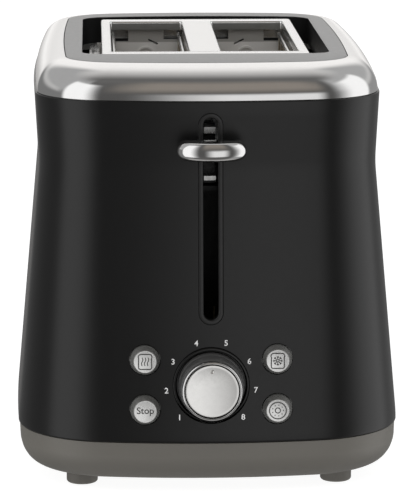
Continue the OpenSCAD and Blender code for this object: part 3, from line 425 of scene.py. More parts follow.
casing_black = material("satin_black", (0.0033, 0.0033, 0.0033), 0.31, tone=0.05, tone_size=9, spread=0.02,
                        bump=0.0016, bump_size=0.16)
chrome = material("polished_chrome", (0.86, 0.855, 0.85), 0.09, 1.0, tone=0.01, spread=0.015, spread_size=6)
trim_grey = material("trim_grey", (0.36, 0.36, 0.36), 0.5, tone=0.03, spread=0.05, bump=0.004, bump_size=0.2)
plate_bright = material("slot_plate_bright", (0.93, 0.93, 0.925), 0.2, 1.0, tone=0.01, tone_size=12,
                        spread=0.04, spread_size=14)
base_grey = material("base_grey", (0.088, 0.083, 0.073), 0.42, tone=0.03, spread=0.04, bump=0.003,
                     bump_size=0.18)
foot_grey = material("foot_grey", (0.12, 0.113, 0.1), 0.6, tone=0.05, spread=0.05, bump=0.006, bump_size=0.3)
liner_black = material("liner_black", (0.012, 0.012, 0.012), 0.34, tone=0.05, spread=0.03, bump=0.001)
gloss_black = material("dial_black", (0.006, 0.006, 0.006), 0.22, tone=0.05, spread=0.03)
knob_black = material("knob_black", (0.08, 0.08, 0.08), 0.3, tone=0.05, spread=0.03)
cap_face = material("cap_face", (0.95, 0.94, 0.92), 0.13, 1.0, tone=0.015, spread=0.03)
button_silver = material("button_silver", (0.86, 0.86, 0.85), 0.3, 0.6, tone=0.02, spread=0.04)
button_rim = material("button_rim", (0.3, 0.3, 0.29), 0.24, 0.65, tone=0.02, spread=0.03)
print_grey = material("print_grey", (0.05, 0.049, 0.047), 0.5, tone=0.05)
print_white = material("print_white", (0.9, 0.9, 0.9), 0.5, tone=0.03)
zinc_sheet = material("zinc_sheet", (0.86, 0.85, 0.83), 0.42, 0.1, tone=0.05, tone_size=14, spread=0.06,
                      spread_size=9)
# Dark grey painted shade for the slot plate's folded rear lips
painted_lip_shade = material("painted_lip_shade", (0.2, 0.2, 0.19), 0.4, 0.3, tone=0.1, tone_size=6)
# Near black painted shade for faces down in the slot well
painted_well_shade = material("painted_well_shade", (0.008, 0.008, 0.008), 0.4, tone=0.1)
black_steel = material("black_steel", (0.02, 0.02, 0.02), 0.45, 0.3, tone=0.15, tone_size=6, spread=0.08)
plated_steel = material("plated_steel", (0.6, 0.6, 0.59), 0.3, 1.0, tone=0.05, spread=0.06, bump=0.001)
reflector_sheet = material("reflector_sheet", (0.72, 0.715, 0.7), 0.26, 1.0, tone=0.05, tone_size=12,
                           spread=0.08, stretch=(1, 0.1, 1))
mica = material("mica", (0.46, 0.38, 0.27), 0.42, tone=0.22, tone_size=2.2, spread=0.12, bump=0.01,
                bump_size=1.1)
ribbon = material("resistance_ribbon", (0.2, 0.165, 0.14), 0.5, 0.8, tone=0.25, tone_size=6, spread=0.1)
wire_steel = material("wire_steel", (0.7, 0.695, 0.68), 0.2, 1.0, tone=0.04, spread=0.05)
spring_steel = material("spring_steel", (0.55, 0.55, 0.54), 0.24, 1.0, tone=0.05, spread=0.05)
board_green = material("board_green", (0.008, 0.1, 0.045), 0.3, tone=0.15, tone_size=3, spread=0.05,
                       bump=0.004)
part_black = material("part_black", (0.02, 0.02, 0.02), 0.5, tone=0.1, spread=0.08, bump=0.004)
pot_blue = material("pot_blue", (0.03, 0.09, 0.18), 0.4, tone=0.06)
core_iron = material("core_iron", (0.3, 0.3, 0.31), 0.42, 1.0, tone=0.12, tone_size=1, stretch=(1, 8, 1))
coil_copper = material("coil_copper", (0.72, 0.3, 0.14), 0.28, 1.0, tone=0.15, tone_size=0.5,
                       stretch=(0.1, 0.1, 6), bump=0.05, bump_size=0.4)
contact_bronze = material("contact_bronze", (0.75, 0.45, 0.2), 0.3, 1.0, tone=0.08)
gland_rubber = material("gland_rubber", (0.012, 0.012, 0.012), 0.6, tone=0.1, bump=0.01, bump_size=0.4)
screw_steel = material("screw_steel", (0.5, 0.5, 0.5), 0.3, 1.0, tone=0.08)
tray_steel = material("tray_steel", (0.62, 0.62, 0.61), 0.28, 1.0, tone=0.05, tone_size=15,
                      stretch=(1, 0.08, 1), spread=0.08)

arm_steel = material("arm_steel", (0.6, 0.6, 0.59), 0.3, 1.0, tone=0.05, spread=0.06)
# Painted light and shade: the arm is painted near black behind its tabs as painted shade in its recess, the
# sheet is painted duller above a set height and lighter below it as painted light where it rolls inward, and
# the base is painted darker towards the bottom as painted shade
ARM_TABS, SHEET_SHADE_Z, BASE_SHADE_Z, BASE_FADE = 32.2, 188.0, 8.0, 10.0
# Painted shade: the plated arm turns near black behind its tabs, for the shade in the recess there
paint_shading_beyond(arm_steel, "Y", node_box("lever_arm")[0][1] + ARM_TABS, (0.02, 0.02, 0.02))
# Painted light: the rear sheet is painted darker above this height and lighter below, for the brighter
# reflection where the sheet rolls inward
paint_shading_beyond(zinc_sheet, "Z", SHEET_SHADE_Z, (0.45, 0.44, 0.42))
# Painted shade: the base is painted darker towards the bottom, for shade on its lower rounding that the
# bright floor would otherwise light
paint_shading_beyond(base_grey, "Z", BASE_SHADE_Z, (0.142, 0.134, 0.118), BASE_FADE)

CAD_FINISH = {
    zinc_sheet: ("chassis_rear_plate",),
    black_steel: ("chassis_front_plate", "catch_plate"),
    arm_steel: ("lever_arm",),
    plated_steel: ("knob_shaft", "bread_lift_left", "bread_lift_right", "carriage_bracket",
                   "rod_bracket_top", "rod_bracket_bottom", "magnet_bracket"),
    reflector_sheet: ("reflector_left", "reflector_right"),
    mica: ("heater_outer_left", "heater_inner_left", "heater_inner_right", "heater_outer_right"),
    ribbon: ("heater_ribbons",),
    wire_steel: ("guide_outer_left", "guide_inner_left", "guide_inner_right", "guide_outer_right",
                 "guide_rods"),
    board_green: ("control_board",),
    part_black: ("tact_switches", "button_carrier"),
    pot_blue: ("potentiometer",),
    core_iron: ("magnet_core",),
    coil_copper: ("magnet_coil",),
    contact_bronze: ("power_contacts",),
    gland_rubber: ("cord_gland",),
    screw_steel: ("base_screws", "chassis_screws"),
    tray_steel: ("crumb_tray",),
}
for finish, names in CAD_FINISH.items():
    for cad_name in names:
        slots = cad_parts[cad_name].data.materials
        slots.clear()
        slots.append(finish)

# ---------- casing, shoulder, trim ring and slot plate ----------


def stadium(width, low_z, high_z, grow=0.0, steps=20, side_steps=30):
    """Upright round-ended outline as (x, z) points."""
    r = width / 2 + grow
    q = math.pi / 2
    top, bottom = high_z - width / 2, low_z + width / 2
    half = [bend(0, top, r, 0, 2 * q, steps), bend(0, bottom, r, 2 * q, 4 * q, steps)]
    return np.vstack([half[0], between(half[0][-1], half[1][0], side_steps),
                      half[1], between(half[1][-1], half[0][0], side_steps)])


SLOT_W = 7.0
LINER_RIM = (liner_high[0] - SLOT_W / 2)
LINER_W = 2 * liner_high[0]
HOLE_GAP = 0.2


def front_cutter(outline, depth=30.0):
    """Prism through the front wall from an outline of (x, z) points."""
    ends = (-BODY_HL - 1, depth - BODY_HL)
    return loft([np.c_[outline[:, 0], np.full(len(outline), y), outline[:, 1]] for y in ends])


def casing():
    edge = [math.radians(a) for a in (0, 22, 45, 68)]
    low = [(0.5 * (1 - math.sin(a)), SEAM_Z + 0.8 - 0.6 * math.cos(a)) for a in edge]
    low_zs = [SEAM_Z + 0.8, *np.linspace(FLARE_Z - FLARE_SOFT, FLARE_Z + FLARE_SOFT, 6)]
    low_zs += [*np.linspace(FLARE_Z + FLARE_SOFT, WAIST_Z - WAIST_BEND, 16)[1:]]
    waist_zs = np.linspace(WAIST_Z - WAIST_BEND, WAIST_Z + WAIST_BEND, 13)[1:-1]
    high_zs = np.linspace(WAIST_Z + WAIST_BEND, RIM_Z - 0.5, 5)
    wall = [(casing_inset(z), z) for z in (*low_zs, *waist_zs, *high_zs)]
    rim = [(RIM_INSET + 0.03 + 0.47 * (1 - math.cos(a)), RIM_Z - 0.5 + 0.5 * math.sin(a)) for a in edge[1:]]
    rim.append((RIM_INSET + 0.5, RIM_Z))
    inner_zs = (RIM_Z, 168, WAIST_Z, 130, 105, 80, 55, FLARE_Z + FLARE_SOFT)
    inner = [(casing_inset(z) + WALL, z) for z in inner_zs] + [(WALL, SEAM_Z + 0.2)]
    shell = loft([at(casing_loop(i), z) for i, z in low + wall + rim + inner], closed=True)
    cutters = [front_cutter(stadium(LINER_W, liner_low[2], liner_high[2], HOLE_GAP))]
    for x, z, r in [(0, DIAL_Z, SURROUND_R + HOLE_GAP)] + [(*BUTTONS[b], BUTTON_R + 0.4) for b in BUTTONS]:
        cutters.append(front_cutter(bend(x, z, r, 0, 2 * math.pi, 72)[:-1], 12))
    gland_low, gland_high = node_box("cord_gland")
    gland = (gland_low + gland_high) / 2
    hole = bend(gland[0], gland[2], 5.6, 0, 2 * math.pi, 48)[:-1]
    cutters.append(loft([np.c_[hole[:, 0], np.full(48, y), hole[:, 1]] for y in (BODY_HL - 12, BODY_HL + 1)]))
    return carved(shell, *cutters)


def posts():
    """The casing's screw posts."""
    post_x, post_y, low, high = 72.0, 72.0, 16.4, 50.0
    tube = turned([(1.5, low), (4.2, low), (4.2, high), (1.5, high)], 32)
    return [moved(tube, sx * post_x, sy * post_y) for sx in (-1, 1) for sy in (-1, 1)]


def shoulder():
    steps = 28
    sheet = 1.1
    foot_in, lip, low, high = RIM_INSET + 0.9, 0.4, RIM_Z + 0.3, TOP_Z - 0.1
    skirt_in, skirt_z = RIM_INSET + WALL + 0.3, RIM_Z - 5

    def dome(t, foot, out, z0, z1):
        s = 1 - math.cos(t)
        return at(casing_loop(foot) * (1 - s) + trim_loop(-out) * s, z0 + (z1 - z0) * math.sin(t))

    turns = [math.pi / 2 * k / steps for k in range(steps + 1)]
    outer = [dome(t, foot_in, lip, low, high) for t in turns]
    inner = [dome(t, foot_in + sheet, lip + sheet, low + sheet, high - sheet) for t in turns[:0:-1]]
    lips = [at(trim_loop(-lip + 0.15), high - 0.1), at(trim_loop(-lip + 0.22), high - 0.3),
            at(trim_loop(-lip), TOP_Z - 2.8), at(trim_loop(-lip - sheet), TOP_Z - 2.8)]
    skirt = [at(casing_loop(skirt_in + sheet), low + sheet), at(casing_loop(skirt_in + sheet), skirt_z),
             at(casing_loop(skirt_in), skirt_z), at(casing_loop(skirt_in), low)]
    return loft(outer + lips + inner + skirt, closed=True)


def bezel():
    ring_t, flange_t, flange_z, soft = 2.2, 1.4, 186.0, 0.35
    rings = [at(trim_loop(0.1), TOP_Z - ring_t), at(trim_loop(0.1), TOP_Z - soft)]
    rings += [at(trim_loop(0.1 + soft * (1 - math.cos(a))), TOP_Z - soft * (1 - math.sin(a)))
              for a in (0.5, 1.0, 1.57)]
    rings += [at(opening_loop(soft * math.cos(a)), TOP_Z - soft * (1 - math.sin(a)))
              for a in (1.57, 1.0, 0.5, 0)]
    rings += [at(opening_loop(0), flange_z), at(opening_loop(flange_t), flange_z),
              at(opening_loop(flange_t), TOP_Z - ring_t)]
    return loft(rings, closed=True)


def folded_sheet(outer, outer_low, holes, hole_low, top, thick, fold):
    """Flat sheet with its outer and hole edges folded down; outer and holes give a loop for an inset."""
    turns = [math.radians(a) for a in (0, 18, 36, 54, 72, 90)]
    inner_fold = fold - thick
    parts, flats = [], []
    for edge, low, sign in [(outer, outer_low, 1)] + [(h, hole_low, -1) for h in holes]:
        over = [(fold - fold * math.sin(t), top - fold + fold * math.cos(t)) for t in turns]
        under = [(fold - inner_fold * math.sin(t), top - fold + inner_fold * math.cos(t))
                 for t in turns[::-1]]
        rings = [at(edge(sign * i), z) for i, z in over + [(0, low), (thick, low)] + under]
        skin = loft(rings)
        parts.append((skin[0], skin[1][:-2]))
        flats.append(edge(sign * fold))
    points = [Vector((x, y, 0)) for flat in flats for x, y in flat]
    counts = np.cumsum([0] + [len(f) for f in flats])
    fill = tessellate_polygon([points[a:b] for a, b in zip(counts, counts[1:])])
    flat = np.vstack(flats)
    parts += [(at(flat, top), fill), (at(flat, top - thick), [f[::-1] for f in fill])]
    return joined(*parts)


SLOT_INNER, SLOT_OUTER, SLOT_FRONT, SLOT_REAR = 7.6, 44.7, -64.0, 69.0


def slot_plate():
    low, high = plate_low - [0, MIDDLE_Y, 0], plate_high - [0, MIDDLE_Y, 0]
    holes = []
    for x0, x1 in ((-SLOT_OUTER, -SLOT_INNER), (SLOT_INNER, SLOT_OUTER)):
        holes.append(lambda i, x0=x0, x1=x1: box_loop((x0, SLOT_FRONT), (x1, SLOT_REAR), 1.6, i))
    plate = folded_sheet(lambda i: box_loop(low, high, 2.6, i), low[2], holes, TOP_Z - 4.6, high[2], 0.8, 1.1)
    # The folded edges stop short of the corners
    notch = [block((x - 2.2, y - 2.2, low[2] - 2), (x + 2.2, y + 2.2, high[2] - 1.25), 0.2)
             for x in (low[0], high[0]) for y in (low[1], high[1])]
    return carved(plate, *notch)


piece("casing", joined(casing(), *posts()), casing_black, "root", "body_shell", slot="casing_black")
piece("shoulder", shoulder(), chrome, "root", "shoulder_trim", slot="bright_metal", sharp=50)
ring = piece("trim_ring", bezel(), trim_grey, "root", "top_bezel", slot="trim_grey", sharp=50)
# Painted shade: the grey trim ring's faces below its top get near black for the shade down in the well
recolour(ring, painted_well_shade, lambda x, y, z: z < TOP_Z - 0.4)
plate = piece("bright_slot_plate", slot_plate(), plate_bright, "root", "slot_plate",
              slot="polished_plate", sharp=40)
# Painted shade: the plate's folded rear lips inside the slots get a dark grey for the shade there
recolour(plate, painted_lip_shade, lambda x, y, z: SLOT_REAR - 0.2 < y < SLOT_REAR + 1.2
         and abs(x) < SLOT_OUTER - 0.2 and z < plate_high[2] - 1.0)

# ---------- base and feet ----------

FLOOR_Z = BASE_Z + 2.4
TRAY_HW, TRAY_LOW, TRAY_HIGH = 61.5, 8.6, 19.6


def base():
    steps = 20
    rounds = [ROUND_Z - (ROUND_Z - BASE_Z) * math.cos(math.pi / 2 * k / steps) for k in range(steps + 1)]
    outer = [(base_inset(z), z) for z in (*rounds, SEAM_Z - 0.5, SEAM_Z - 0.25)]
    outer += [(base_inset(SEAM_Z) + 0.12, SEAM_Z - 0.13), (base_inset(SEAM_Z) + 0.35, SEAM_Z - 0.1)]
    lip_in, lip_t, lip_z = WALL + 0.35, 1.8, 29.4
    inner = [(lip_in, SEAM_Z - 0.1), (lip_in, lip_z), (lip_in + lip_t, lip_z), (lip_in + lip_t, ROUND_Z),
             (BASE_IN + 6, 12.5), (BASE_IN + 11, FLOOR_Z)]
    tray = loft([at(casing_loop(i), z) for i, z in outer + inner])
    vents = [block((x - 1.5, y0, BASE_Z - 1), (x + 1.5, y1, FLOOR_Z + 1), 0.5)
             for x in np.linspace(-42.5, 42.5, 9) for y0, y1 in ((-106, -82), (82, 104))]
    way_out = block((-TRAY_HW, 105, TRAY_LOW), (TRAY_HW, 145, TRAY_HIGH), 0.3)
    low, high = BASE_Z - 1, BASE_Z + 5
    holes = [moved(turned([(0, low), (r, low), (r, high), (0, high)], 32), sx * x, sy * y)
             for r, x, y in ((3.1, 60.2, 109.3), (4.2, 72, 72)) for sx in (-1, 1) for sy in (-1, 1)]
    return carved(tray, way_out, *vents, *holes)


def bosses():
    tube = turned([(1.9, FLOOR_Z - 1), (6.4, FLOOR_Z - 1), (6.4, 16.2), (1.9, 16.2)], 32)
    return [moved(tube, sx * 72, sy * 72) for sx in (-1, 1) for sy in (-1, 1)]


def foot(node):
    low, high = node_box(node)
    r = (high[0] - low[0]) / 2
    edge = 1.4
    turns = [math.radians(a) for a in range(0, 91, 15)]
    profile = [(0, 0.35), (r - 2.4, 0.35), (r - 2.1, 0)]
    profile += [(r - edge + edge * math.sin(t), edge - edge * math.cos(t)) for t in turns]
    profile += [(r, BASE_Z), (3, BASE_Z), (3, high[2]), (0, high[2])]
    return moved(turned(profile, 64), (low[0] + high[0]) / 2, (low[1] + high[1]) / 2 - MIDDLE_Y)


def drawer_front():
    """The crumb tray's front, which carries on the base's own surface, with a finger grip under it."""
    hw, low, high, back, soft = drawer_high[0], drawer_low[2], drawer_high[2], 124.0, 0.5
    section = [(low, soft), (low + 0.15, 0.15), (low + soft, 0)]
    section += [(low + (high - low) * k / 8, 0) for k in range(1, 8)]
    section += [(high - soft, 0), (high - 0.15, 0.15), (high, soft)]
    rings = []
    for z, i in section:
        xs = np.linspace(hw - i, i - hw, 60)
        r = BOW_R - base_inset(z) - i
        rear = BODY_HL - BOW_R + np.sqrt(r * r - xs * xs)
        rings.append(at(np.vstack([np.c_[xs, rear], np.c_[xs[::-1], np.full(60, back)]]), z))
    grip_hw, grip_high = 24.0, low + 2.2
    grip = carved(block((-grip_hw, 134, low), (grip_hw, drawer_high[1] - MIDDLE_Y, grip_high), 0.6),
                  block((-grip_hw + 2, 137.2, low + 1.2), (grip_hw - 2, 139.6, grip_high + 1), 0.3))
    return joined(loft(rings), grip)


piece("base", joined(base(), *bosses()), base_grey, "root", "base_tray", slot="base_grey")
for place in ("front_left", "front_right", "rear_left", "rear_right"):
    piece("rubber_foot_" + place, foot("foot_" + place), foot_grey, "root", "foot_" + place, slot="foot_grey")
piece("drawer_front", drawer_front(), base_grey, "crumb_drawer", "crumb_tray_handle", slot="base_grey")

# ---------- lever ----------


def slot_liner():
    low, high = liner_low[2] + LINER_RIM, liner_high[2] - LINER_RIM
    section = [(LINER_RIM, -3.4), (LINER_RIM, 0.1), (LINER_RIM - 0.12, 0.3), (LINER_RIM - 0.4, 0.4),
               (0.5, 0.4), (0.2, 0.32), (0.03, 0.12), (0, -0.2), (0, -3.4)]
    rings = []
    for grow, proud in section:
        xz = stadium(SLOT_W, low, high, grow)
        rings.append(np.array([(x, front_y(x, z) - proud, z) for x, z in xz]))
    return loft(rings, closed=True)


def lever_handle():
    """A bar with an elliptical front, a flat top and a face that leans back, hollowed behind for the arm."""
    hw, half_h = handle_high[0], (handle_high[2] - handle_low[2]) / 2
    front, back = handle_low[1] - MIDDLE_Y, handle_high[1] - MIDDLE_Y
    mid_z = (handle_high[2] + handle_low[2]) / 2
    deep, under, lean, edge, full_z, back_r, end_round = 9.5, 3.0, 1.2, 0.6, -0.3 * half_h, 1.0, 4.6
    rise = half_h - edge - full_z
    tilt = math.atan(2 * lean / rise)
    edge_r = edge / (1 - math.sin(tilt))
    # Section as height from the middle and distance in from the fullest outline
    section = [(-half_h, under + 0.3)]
    section += [(full_z - (full_z + half_h) * math.cos(a), under * (1 - math.sin(a)))
                for a in np.linspace(0, math.pi / 2, 12)]
    section += [(full_z + rise * k / 10, lean * (k / 10) ** 2) for k in range(1, 11)]
    section += [(half_h - edge + edge_r * (math.sin(a) - math.sin(tilt)),
                 lean + edge_r * (math.cos(tilt) - math.cos(a)))
                for a in np.linspace(tilt, math.pi / 2, 8)[1:]]
    section.append((half_h, section[-1][1] + 0.3))
    rings = []
    for z, i in section:
        end_in = max(0.6 * i, end_round * (1 - math.sqrt(1 - (0.97 * z / half_h) ** 2)))
        x, y, back_y = hw - end_in, front + deep, back - min(0.4, 0.3 * i)
        bow = [(x * math.cos(t), y - (deep - i) * math.sin(t)) for t in np.linspace(0, math.pi, 65)]
        outline = np.vstack([bow, bend(back_r - x, back_y - back_r, back_r, math.pi, math.pi / 2, 5),
                             bend(x - back_r, back_y - back_r, back_r, math.pi / 2, 0, 5)])
        rings.append(at(outline, mid_z + z))
    bar = loft(rings)
    arm_low, arm_high = node_box("lever_arm")
    gap, arm_h = 0.02, 3.6
    pocket = block((arm_low[0] - gap, arm_low[1] - MIDDLE_Y - gap, mid_z - arm_h - gap),
                   (arm_high[0] + gap, back + 1, mid_z + gap), gap)
    return carved(bar, pocket)


piece("slot_liner", slot_liner(), liner_black, "root", "lever_slot_liner", slot="liner_black")
piece("lever_bar", lever_handle(), chrome, "carriage", "lever_handle", slot="bright_metal", sharp=50)

# ---------- dial and buttons ----------

# The ring's bore and the cap's edge leave a groove between them, and both are painted black there as painted
# shade in the groove
RING_BORE_R, CAP_R = 12.8, 12.3


def dial_surround():
    r, front = SURROUND_R, -front_y(0, DIAL_Z)
    edge = [(r, DISH_FRONT - 1.5), (r, front - 0.35), (r - 0.1, front - 0.05), (r - 0.35, front + 0.1),
            (r - 0.9, front + 0.1), (r - 1.15, front - 0.1), (r - 1.2, front - 0.4),
            (r - 1.3, DISH_FRONT + 0.5), (r - 1.7, DISH_FRONT)]
    return turned(edge + [(5.2, DISH_FRONT), (5.2, DISH_FRONT - 1.5)])


def knob_skirt():
    b, n = KNOB_BACK, KNOB_FRONT - 3.6
    profile = [(3, b + 3), (5, b + 3), (5, b), (15.2, b), (15.4, b + 0.3), (15.4, b + 1.2), (15.1, b + 1.55),
               (14.85, b + 1.75), (14.85, b + 2.5), (15.05, b + 2.75), (15.2, b + 3.05), (15.15, b + 3.9),
               (14.95, b + 4.15), (14.75, b + 4.35), (14.75, b + 4.9), (14.95, b + 5.15), (14.95, b + 5.6),
               (14.85, b + 7.2), (14.6, n - 1.2), (14.35, n - 0.35),
               (14.1, n), (12.3, n), (12.3, n + 2), (3, n + 2)]
    return turned(profile, 128)


def knob_ring():
    n, f, r, bore, seat = KNOB_FRONT - 3.55, KNOB_FRONT, DIAL_R, RING_BORE_R, 12.35
    return turned([(seat, n), (r - 0.1, n), (r, n + 0.35), (r, f - 0.8), (r - 0.1, f - 0.45),
                   (r - 0.32, f - 0.2), (r - 0.6, f - 0.05), (r - 0.85, f), (bore + 0.25, f - 0.06),
                   (bore + 0.08, f - 0.2), (bore, f - 0.45), (bore, n + 1.2), (seat, n + 1.2)], 128)


def knob_cap():
    n, f, r = KNOB_FRONT - 1.55, KNOB_FRONT, CAP_R
    dish = [(q, f - 0.78 + 0.45 * (q / r) ** 2) for q in (11.9, 11, 9.5, 8, 6, 4, 2)]
    edge = [(0, n), (r, n), (r, f - 0.55), (r - 0.08, f - 0.42), (r - 0.2, f - 0.37)]
    cap = turned(edge + dish + [(0, f - 0.78)], 128)
    dimple_r, dimple_at = 1.0, 9.2
    ball = [(dimple_r * math.cos(a), dimple_r * math.sin(a)) for a in np.linspace(-1.2, 1.2, 11)]
    pip = turned([(0, -dimple_r)] + ball + [(0, dimple_r)], 32)
    return carved(cap, moved(pip, 0, dimple_at, f - 0.25))


def dish_depth(r):
    return max(0.0, math.sqrt(BUTTON_DISH_R ** 2 - r * r) - (BUTTON_DISH_R - BUTTON_DISH_DEPTH))


def button(name):
    x, z = BUTTONS[name]
    y = front_y(x, z)
    r, f, top = BUTTON_R, BUTTON_FACE_R, BUTTON_PROUD
    stem_end = -(node_box(name + "_button")[1][1] - MIDDLE_Y - y)
    rim = [(r, 0.45), (r - 0.04, 0.75), (r - 0.18, 1.0), (f + 0.35, top - 0.35), (f + 0.2, top - 0.1)]
    rim.append((f, top))
    rim.append((f - 0.12, top - dish_depth(f - 0.12)))
    dish = [(q, top - dish_depth(q)) for q in (4.6, 4, 3.4, 2.8, 2.2, 1.6, 1, 0.5)]
    stem_r, flange_r, flange_end = 2.4, r + 1.5, -BUTTON_FLANGE - 1.2
    back = [(0, stem_end), (stem_r, stem_end), (stem_r, flange_end), (flange_r, flange_end),
            (flange_r, -BUTTON_FLANGE), (r, -BUTTON_FLANGE)]
    part = turned(back + rim + dish + [(0, top - BUTTON_DISH_DEPTH)], 72)
    return facing_front((part[0] + [0, 0, -y], part[1]), x, z)


piece("dial_well", facing_front(dial_surround(), 0, DIAL_Z), gloss_black, "root", "dial_surround",
      slot="gloss_black")
piece("knob_skirt", facing_front(knob_skirt(), 0, DIAL_Z), knob_black, "dial", "browning_knob",
      slot="gloss_black", sharp=60)

bright_ring = piece("bright_ring", facing_front(knob_ring(), 0, DIAL_Z), chrome, "dial", "knob_ring",
                    slot="bright_metal", sharp=60)
satin_cap = piece("satin_cap", facing_front(knob_cap(), 0, DIAL_Z), cap_face, "dial", "knob_cap",
                  slot="satin_face", sharp=50)


def off_axis(x, z, centre):
    return math.hypot(x - centre[0], z - centre[1])


# Painted shade: the chrome ring's bore and the satin cap's rim get gloss black for the shade in the groove
recolour(bright_ring, gloss_black, lambda x, y, z: off_axis(x, z, (0, DIAL_Z)) < RING_BORE_R + 0.02)
recolour(satin_cap, gloss_black, lambda x, y, z: off_axis(x, z, (0, DIAL_Z)) > CAP_R - 0.03)
for b in BUTTONS:
    key_cap = piece(b + "_key_cap", button(b), button_silver, b + "_key", b + "_button",
                    slot="button_silver", sharp=35)
    recolour(key_cap, button_rim, lambda x, y, z: off_axis(x, z, BUTTONS[b]) > BUTTON_FACE_R + 0.02)

# ---------- printed marks ----------


def stroke(points, width, closed=False, thick=0.04):
    """Flat line of a given width through (u, v) points."""
    p = np.array(points, float)
    if closed:
        t = np.roll(p, -1, 0) - np.roll(p, 1, 0)
    else:
        t = np.gradient(p, axis=0)
    side = np.c_[-t[:, 1], t[:, 0]] / np.linalg.norm(t, axis=1)[:, None] * width / 2
    rings = [np.array([(*(a - s), -thick), (*(a + s), -thick), (*(a + s), thick), (*(a - s), thick)])
             for a, s in zip(p, side)]
    return loft(rings, closed=closed)


def dot(u, v, r, thick=0.04):
    return moved(turned([(0, -thick), (r, -thick), (r, thick), (0, thick)], 16), u, v)


def text(words, cap_height, bolder=0.0):
    """Words in the built-in font as a thin flat solid, centred on the origin."""
    curve = bpy.data.curves.new("words", "FONT")
    curve.body = words
    curve.align_x, curve.align_y = "CENTER", "CENTER"
    curve.extrude = 0.04
    curve.offset = bolder
    curve.resolution_u = 4
    obj = bpy.data.objects.new("words", curve)
    bpy.context.scene.collection.objects.link(obj)
    mesh = bpy.data.meshes.new_from_object(obj.evaluated_get(bpy.context.evaluated_depsgraph_get()))
    p = np.array([v.co[:] for v in mesh.vertices])
    faces = [tuple(f.vertices) for f in mesh.polygons]
    bpy.data.objects.remove(obj)
    bpy.data.curves.remove(curve)
    bpy.data.meshes.remove(mesh)
    p[:, :2] -= (p[:, :2].max(0) + p[:, :2].min(0)) / 2
    cap = 0.7
    p[:, :2] *= cap_height / cap
    return p, faces


def slice_outline(w, h):
    """A slice of bread: square below, with a wider, rounder top."""
    r, crown = 0.16 * w, 0.2 * w
    low = [bend(w / 2 - r, -h / 2 + r, r, 0, -math.pi / 2, 4),
           bend(-w / 2 + r, -h / 2 + r, r, -math.pi / 2, -math.pi, 4)]
    high = [bend(-w / 2 + crown * 0.9, h / 2 - crown, crown, -math.pi * 0.8, -math.pi * 1.5, 8),
            bend(w / 2 - crown * 0.9, h / 2 - crown, crown, -math.pi * 1.5, -math.pi * 2.2, 8)]
    return np.vstack(low + high)


def wave(x, h, swing):
    t = np.linspace(-1, 1, 15)
    return np.c_[x + swing * np.sin(t * math.pi), t * h / 2]


def snowflake(r):
    arms = []
    for k in range(8):
        a = math.pi / 4 * k
        d = np.array([math.cos(a), math.sin(a)])
        arms.append(stroke([d * 0.15 * r, d * r], 0.42))
        across = 0.24 * r * np.array([-d[1], d[0]])
        arms += [stroke([d * 0.62 * r, d * 0.92 * r + s * across], 0.3) for s in (-1, 1)]
    return arms


def circle(r, width, steps):
    return stroke(bend(0, 0, r, 0, 2 * math.pi, steps)[:-1], width, True)


def bagel():
    seeds, seeds_r = 9, 2.55
    places = np.linspace(0, 2 * math.pi, seeds + 1)[:-1]
    return [circle(3.9, 0.5, 48), circle(1.2, 0.45, 24)] + \
        [dot(seeds_r * math.cos(a), seeds_r * math.sin(a), 0.26) for a in places]


ICONS = {
    "reheat": [stroke(slice_outline(6.1, 7.1), 0.5, True)]
              + [stroke(wave(x, 3.9, 0.32), 0.42) for x in (-1.35, 0, 1.35)],
    "defrost": [stroke(slice_outline(6.1, 7.1), 0.5, True)] + snowflake(2.2),
    "bagel": bagel(),
    "stop": [text("Stop", 3.1, 0.012)],
}


def on_button(name):
    x, z = BUTTONS[name]
    y = front_y(x, z) - BUTTON_PROUD
    return lambda u, v, h: (x + u, y + dish_depth(math.hypot(u, v)) - h, z + v)


for b, marks in ICONS.items():
    piece(b + "_icon", mapped(joined(*marks), on_button(b)), print_grey, b + "_key")

NUMERAL_R, NUMERAL_H, NUMERAL_SPAN = 20.9, 2.55, 135.0
for k in range(8):
    a = math.radians(-NUMERAL_SPAN + 2 * NUMERAL_SPAN * k / 7)
    nx, nz = NUMERAL_R * math.sin(a), DIAL_Z + NUMERAL_R * math.cos(a)
    piece(f"numeral_{k + 1}", mapped(text(str(k + 1), NUMERAL_H, 0.018), lambda u, v, h, nx=nx, nz=nz:
          (nx + u, front_y(nx + u, nz + v) - h, nz + v)), print_white, "root")

# ---------- return spring ----------


def spring():
    x, y = (spring_low[0] + spring_high[0]) / 2, (spring_low[1] + spring_high[1]) / 2 - MIDDLE_Y
    wire, turns, steps, sides = 0.5, 17, 24, 10
    coil = (spring_high[0] - spring_low[0]) / 2 - wire
    low, high = spring_low[2] + wire, spring_high[2] - wire
    rings = []
    for i in range(turns * steps + 1):
        a = 2 * math.pi * i / steps
        z = low + (high - low) * i / (turns * steps)
        ring = []
        for b in (2 * math.pi * q / sides for q in range(sides)):
            out = coil + wire * math.cos(b)
            ring.append((out * math.cos(a), out * math.sin(a), z + wire * math.sin(b)))
        rings.append(np.array(ring) + [x, y, 0])
    return loft(rings)


coil_mesh = mesh_of(spring(), "coil_spring")
for v in coil_mesh.vertices:
    v.co = Vector((v.co.x, v.co.y + MIDDLE_Y, v.co.z)) * MM
coil_mesh.materials.append(spring_steel)
coil_mesh.shade_smooth()
coil_spring = bpy.data.objects.new("coil_spring", coil_mesh)
bpy.context.scene.collection.objects.link(coil_spring)
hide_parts("return_spring")
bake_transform(coil_spring)

# ---------- stage, light and camera ----------

scene = bpy.context.scene
scene.view_settings.view_transform = "Standard"
scene.view_settings.look = "None"

